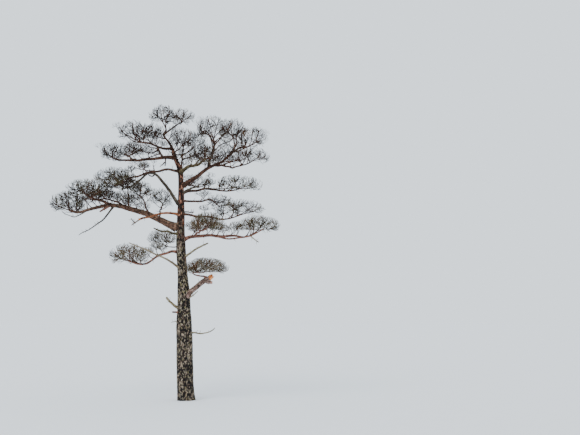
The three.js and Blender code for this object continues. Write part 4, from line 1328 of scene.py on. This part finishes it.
class Finish:
    """A node material under construction."""

    def __init__(self, name, roughness):
        self.material = bpy.data.materials.new(name)
        self.material.use_nodes = True
        self.tree = self.material.node_tree
        self.surface = self.tree.nodes["Principled BSDF"]
        self.surface.inputs["Roughness"].default_value = roughness
        self.surface.inputs["Specular IOR Level"].default_value = SHEEN

    def fill(self, socket, value):
        """Links a field to a socket, or gives it a number or a colour."""
        if isinstance(value, Field):
            self.tree.links.new(value.socket, socket)
        else:
            socket.default_value = value

    def made(self, kind, output, inputs=(), **settings):
        """An output of a new node, as a field."""
        node = self.tree.nodes.new(kind)
        for key, value in settings.items():
            setattr(node, key, value)
        for key, value in dict(inputs).items():
            self.fill(node.inputs[key], value)
        return Field(self, node.outputs[output])

    def place(self):
        return self.made("ShaderNodeTexCoord", "Object")

    def normal(self):
        return self.made("ShaderNodeNewGeometry", "Normal")

    def part(self, vector, axis):
        return self.made("ShaderNodeSeparateXYZ", axis, {0: vector})

    def attribute(self, name):
        return self.made("ShaderNodeAttribute", "Fac", attribute_name=name)

    def noise(self, scale, detail=3.0, stretch=(1, 1, 1)):
        place = self.made("ShaderNodeVectorMath", 0, {0: self.place(), 1: stretch}, operation="MULTIPLY")
        return self.made("ShaderNodeTexNoise", "Fac", {"Vector": place, "Scale": scale, "Detail": detail})

    def ramp(self, value, stops):
        """A colour that runs through stops, given as a position and daylight values each."""
        colour = self.made("ShaderNodeValToRGB", "Color", {"Fac": value})
        ends = colour.socket.node.color_ramp.elements
        stops = [(position, paint(*shade)) for position, shade in stops.items()]
        ends[0].position, ends[0].color = stops[0]
        ends[1].position, ends[1].color = stops[-1]
        for position, shade in stops[1:-1]:
            ends.new(position).color = shade
        return colour

    def steps(self, value, low, high):
        inputs = {"Value": value, "From Min": low, "From Max": high}
        return self.made("ShaderNodeMapRange", "Result", inputs, interpolation_type="SMOOTHSTEP")

    def belt(self, value, rising, falling):
        """1 between two places, from which it fades away smoothly."""
        return self.steps(value, *rising) * self.steps(value, *falling)

    def maths(self, operation, first, second):
        return self.made("ShaderNodeMath", 0, {0: first, 1: second}, operation=operation)

    def mix(self, share, first, second):
        """From a first colour at a share of 0 to a second one at 1."""
        return self.made("ShaderNodeMix", 2, {0: share, 6: first, 7: second}, data_type="RGBA")

    def paint_with(self, colour):
        self.fill(self.surface.inputs["Base Color"], colour)

    def bump_with(self, height, distance):
        inputs = {"Height": height, "Distance": distance, "Strength": BUMP_STRENGTH}
        self.fill(self.surface.inputs["Normal"], self.made("ShaderNodeBump", "Normal", inputs))


# Heights on the trunk in metres: where its flakes turn red, where they do so on its right side, and where its
# lichen and its orange spots begin and end
RED_FROM = (7.35, 8.6)
RED_SIDE_FROM = (6.0, 6.9)
RIGHT_SIDE = (0.45, 0.85)
LICHEN_BELT = ((2.6, 4.4), (7.4, 6.2))
ORANGE_BELT = ((6.7, 7.2), (8.1, 7.5))


def trunk_bark():
    """Grey plates with pale lichen that turn into red-brown flakes higher up; painted shade in all cracks."""
    finish = Finish("trunk_bark", 0.95)
    long_spots = (1, 1, 0.5)
    height = finish.part(finish.place(), "Z")
    shade = finish.attribute("plate") * 1.25 + finish.noise(34, 4, (1, 1, 0.35)) * 0.7 - 0.5
    plates = finish.ramp(shade, {
        0.32: (13, 8, 7), 0.52: (36, 26, 21), 0.68: (78, 63, 53), 0.9: (140, 124, 106),
    })
    flakes = finish.ramp(shade, {
        0.14: (26, 12, 9), 0.4: (56, 31, 23), 0.64: (93, 56, 43), 0.92: (150, 104, 84),
    })
    wavering = height + finish.noise(2.4, 2) * 2.2
    right_side = finish.steps(finish.part(finish.normal(), "X"), *RIGHT_SIDE)
    red_side = right_side * finish.steps(wavering, *RED_SIDE_FROM) * 0.8
    upper = finish.maths("MAXIMUM", finish.steps(wavering, *RED_FROM), red_side)
    bark = finish.mix(upper, plates, flakes)
    lichen_spots = finish.steps(finish.noise(17, 2, long_spots), 0.53, 0.57)
    lichen_share = lichen_spots * (finish.belt(height, *LICHEN_BELT) * 0.25 + 0.44) * (1.0 - upper * 0.8)
    mottle = finish.steps(finish.noise(9, 3), 0.45, 0.62)
    bark = finish.mix(lichen_share, bark, finish.mix(mottle, paint(164, 152, 134), paint(144, 134, 92)))
    orange_spots = finish.steps(finish.noise(6, 3, long_spots), 0.55, 0.66)
    bark = finish.mix(finish.belt(height, *ORANGE_BELT) * orange_spots, bark, paint(130, 72, 44))
    # The near-black colour of the cracks is painted shade, a little redder among the flakes higher up
    crack_shade = finish.mix(upper, paint(13, 10, 9), paint(26, 14, 11))
    finish.paint_with(finish.mix(finish.steps(finish.attribute("crack"), 0.2, 0.85), crack_shade, bark))
    finish.bump_with(finish.noise(60, 5, long_spots), 0.006)
    return finish.material


# The barks and the bare woods of limbs: their dark, middle and light shades, the painted shade in the cracks
# at the edges of their flakes and their lichen, as daylight values, and how much lichen they bear
Bark = namedtuple("Bark", "name dark middle light edge lichen lichen_share")
BARKS = [Bark(*row) for row in [
    ("red", (26, 15, 11), (62, 38, 28), (106, 72, 56), (15, 9, 7), (84, 76, 60), 0.5),
    ("dark", (26, 17, 13), (66, 46, 37), (116, 90, 75), (15, 10, 8), (86, 79, 61), 0.95),
    ("ruddy", (24, 16, 13), (80, 52, 41), (134, 100, 82), (13, 9, 8), (96, 90, 70), 1.0),
    ("grey", (30, 24, 20), (62, 52, 44), (104, 93, 80), (16, 12, 10), (108, 102, 80), 0.6),
    ("olive", (42, 33, 22), (76, 63, 43), (108, 95, 68), (22, 17, 12), (112, 106, 70), 0.8),
    ("pink", (54, 32, 26), (116, 74, 61), (162, 116, 100), (26, 15, 12), (112, 103, 82), 0.45),
    ("weathered", (34, 22, 19), (94, 68, 60), (168, 142, 134), (54, 38, 33), (126, 120, 96), 0.9),
    ("orange", (66, 36, 24), (126, 73, 46), (164, 106, 72), (38, 20, 14), (112, 97, 74), 0.4),
    ("pale", (72, 60, 42), (118, 104, 80), (162, 150, 124), (40, 32, 23), (140, 134, 96), 0.7),
    ("bare", (88, 73, 57), (128, 112, 90), (162, 148, 124), (58, 46, 35), (122, 116, 84), 0.35),
    ("torn", (176, 96, 44), (222, 142, 84), (236, 182, 132), (130, 66, 32), (214, 160, 116), 0.1),
    ("split", (138, 92, 76), (188, 138, 116), (216, 176, 156), (104, 64, 50), (180, 144, 122), 0.1),
]]
WOODS = ("bare", "torn", "split")


def limb_bark(bark):
    """Thin flaking bark in three shades, painted shade in the cracks between flakes, most lichen on top."""
    finish = Finish(bark.name + "_wood" if bark.name in WOODS else "bough_bark_" + bark.name, 0.92)
    shade = finish.attribute("plate") * 0.45 + finish.noise(26, 4) * 0.6 + (finish.noise(5, 2) - 0.5) * 0.8
    colour = finish.ramp(shade, {0.22: bark.dark, 0.5: bark.middle, 0.85: bark.light})
    upward = finish.steps(finish.part(finish.normal(), "Z"), -0.1, 0.9) * 0.9 + 0.2
    spots = finish.steps(finish.noise(15, 4), 0.46, 0.6)
    colour = finish.mix(spots * upward * bark.lichen_share, colour, paint(*bark.lichen))
    # The cracks between the flakes take the dark edge colour, which is painted shade
    inside = finish.steps(finish.attribute("crack"), 0.0, 0.5)
    finish.paint_with(finish.mix(inside, paint(*bark.edge), colour))
    finish.bump_with(finish.noise(70, 5), 0.004)
    return finish.material


# The darker and the lighter places on a twig, as shares of its tone
TWIG_SHADES = (0.88, 1.12)


def twig_finish(name, colour):
    """A plain tone, a little lighter and darker from place to place."""
    finish = Finish("twig_" + name, 0.9)
    darker, lighter = (paint(*(share * value for value in colour)) for share in TWIG_SHADES)
    finish.paint_with(finish.mix(finish.noise(3.5, 2), darker, lighter))
    finish.bump_with(finish.noise(90, 2), 0.002)
    return finish.material


# Camera, light and floor

def make_camera():
    camera = bpy.data.objects.new("camera", bpy.data.cameras.new("camera"))
    camera.location = CAMERA_PLACE
    camera.rotation_euler = (math.radians(90 + CAMERA_UP_DEG), 0, math.radians(-CAMERA_RIGHT_DEG))
    camera.data.sensor_width = SENSOR_WIDTH
    camera.data.lens = SENSOR_WIDTH * FOCAL_PIXELS / PHOTO_WIDTH
    camera.data.clip_end = FAR_CLIP
    bpy.context.scene.collection.objects.link(camera)
    bpy.context.scene.camera = camera


def make_light():
    world = bpy.data.worlds.new("sky")
    world.use_nodes = True
    background = world.node_tree.nodes["Background"]
    background.inputs["Color"].default_value = SKY_COLOUR
    background.inputs["Strength"].default_value = SKY_STRENGTH
    bpy.context.scene.world = world
    sun = bpy.data.lights.new("soft_light", "SUN")
    sun.energy = SUN_STRENGTH
    sun.angle = math.radians(SUN_SPREAD_DEG)
    lamp = bpy.data.objects.new("soft_light", sun)
    lamp.rotation_euler = (math.radians(SUN_LEAN_DEG), 0, math.radians(SUN_TURN_DEG))
    bpy.context.scene.collection.objects.link(lamp)


def make_floor():
    bpy.ops.mesh.primitive_circle_add(vertices=FLOOR_SIDES, radius=FLOOR_RADIUS, fill_type="NGON")
    floor = bpy.context.object
    floor.location.z = -FLOOR_DROP
    floor.name = "floor"
    finish = Finish("floor", 0.9)
    finish.paint_with(finish.mix(finish.noise(1.5, 3), *FLOOR_SHADES))
    finish.bump_with(finish.noise(12, 3), 0.004)
    floor.data.materials.append(finish.material)


# Everything put together

def attach(piece, slot, *nodes):
    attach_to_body(piece, BODY)
    if nodes:
        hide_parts(*nodes)


def add_thicker_twigs(shape, twigs, levels):
    """The thicker twigs of a space, but for those of the last level, which are in its brush."""
    for number, level in enumerate(levels[:-1], 1):
        own = [twig for twig in twigs if twig.level == number]
        if own:
            brush = brush_of(own, [min(number - 1, 1)] * len(own))
            shape.add_tubes(crooked(brush.points), brush.radii, brush.tones, level.sides)


def add_brush(shape, side, fine, tufts, sides):
    """The side twigs, with every other of their points, the fine twigs and the tufts."""
    side = side._replace(points=side.points[:, ::2], radii=side.radii[:, ::2])
    for brush in (side, fine, tufts):
        shape.add_tubes(crooked(brush.points), brush.radii, brush.tones, sides)


def mass_piece(index, materials):
    """The twigs of a mass, with its stem where the trunk carries it."""
    space, stem = spaces[index], stems[index]
    twigs = grow_twigs(space, stem, MASS_SEED + index, MASS_LEVELS, index)
    shape = Shape()
    add_thicker_twigs(shape, twigs, MASS_LEVELS)
    brush = grow_brush(space, stem, twigs, FINE_LEVEL, MASS_BRUSH_SEED + index, index)
    add_brush(shape, *brush, FINE_LEVEL.sides)
    if MASSES[index].on == "trunk":
        radii = space.girth * np.linspace(1, STEM_TAPER, STEM_RINGS + 1)
        add_limb(shape, stem_points(space, STEM_RINGS), radii, 0, STEM_SEED + index)
    return shape.to_object("brush_" + MASSES[index].name, materials)


def spray_shape(sprays, first_number):
    """The sprays of one bough, of which the first has a given number in the whole tree, and their count."""
    shape = Shape()
    made = spray_spaces(sprays)
    for number, space in enumerate(made, first_number):
        stem = stem_of(space)
        twigs = grow_twigs(space, stem, SPRAY_SEED + number, SPRAY_LEVELS)
        shape.add_tubes(crooked(stem.points[None]), stem.radii[None], [0], SPRAY_STEM_SIDES)
        add_thicker_twigs(shape, twigs, SPRAY_LEVELS)
        brush = grow_brush(space, stem, twigs, SPRAY_FINE_LEVEL, SPRAY_BRUSH_SEED + number)
        add_brush(shape, *brush, SPRAY_FINE_LEVEL.sides)
    return shape, len(made)


make_camera()
make_light()
make_floor()

barks = {bark.name: limb_bark(bark) for bark in BARKS}
attach(trunk_piece(trunk_bark()), "trunk_bark", "trunk")
slots = {row["node"]: row["material_slot"] for row in frame["record"]["subparts"]}
for limb in LIMBS:
    attach(limb_piece(limb, barks), slots[limb.name], limb.name)
for stub in STUBS:
    attach(limb_piece(stub, barks), "trunk_bark", "trunk")
for limb in SMALL_LIMBS:
    attach(limb_piece(limb, barks), "dead_bark" if limb.name.startswith("dead") else "bough_bark")
for name, carrier, length, count, wood in TORN_ENDS:
    attach(torn_end("torn_end_" + name, limb_named[carrier], length, count, barks[wood]), "bare_dead_wood")

tones = [twig_finish(name, colour) for name, colour in TONES.items()]
for index, mass in enumerate(MASSES):
    attach(mass_piece(index, tones), "twigs", mass.name)
spray_count = 0
for sprays in SPRAY_SETS:
    shape, made = spray_shape(sprays, spray_count)
    spray_count += made
    if made:
        attach(shape.to_object("sprays_" + sprays.on, tones), "twigs")
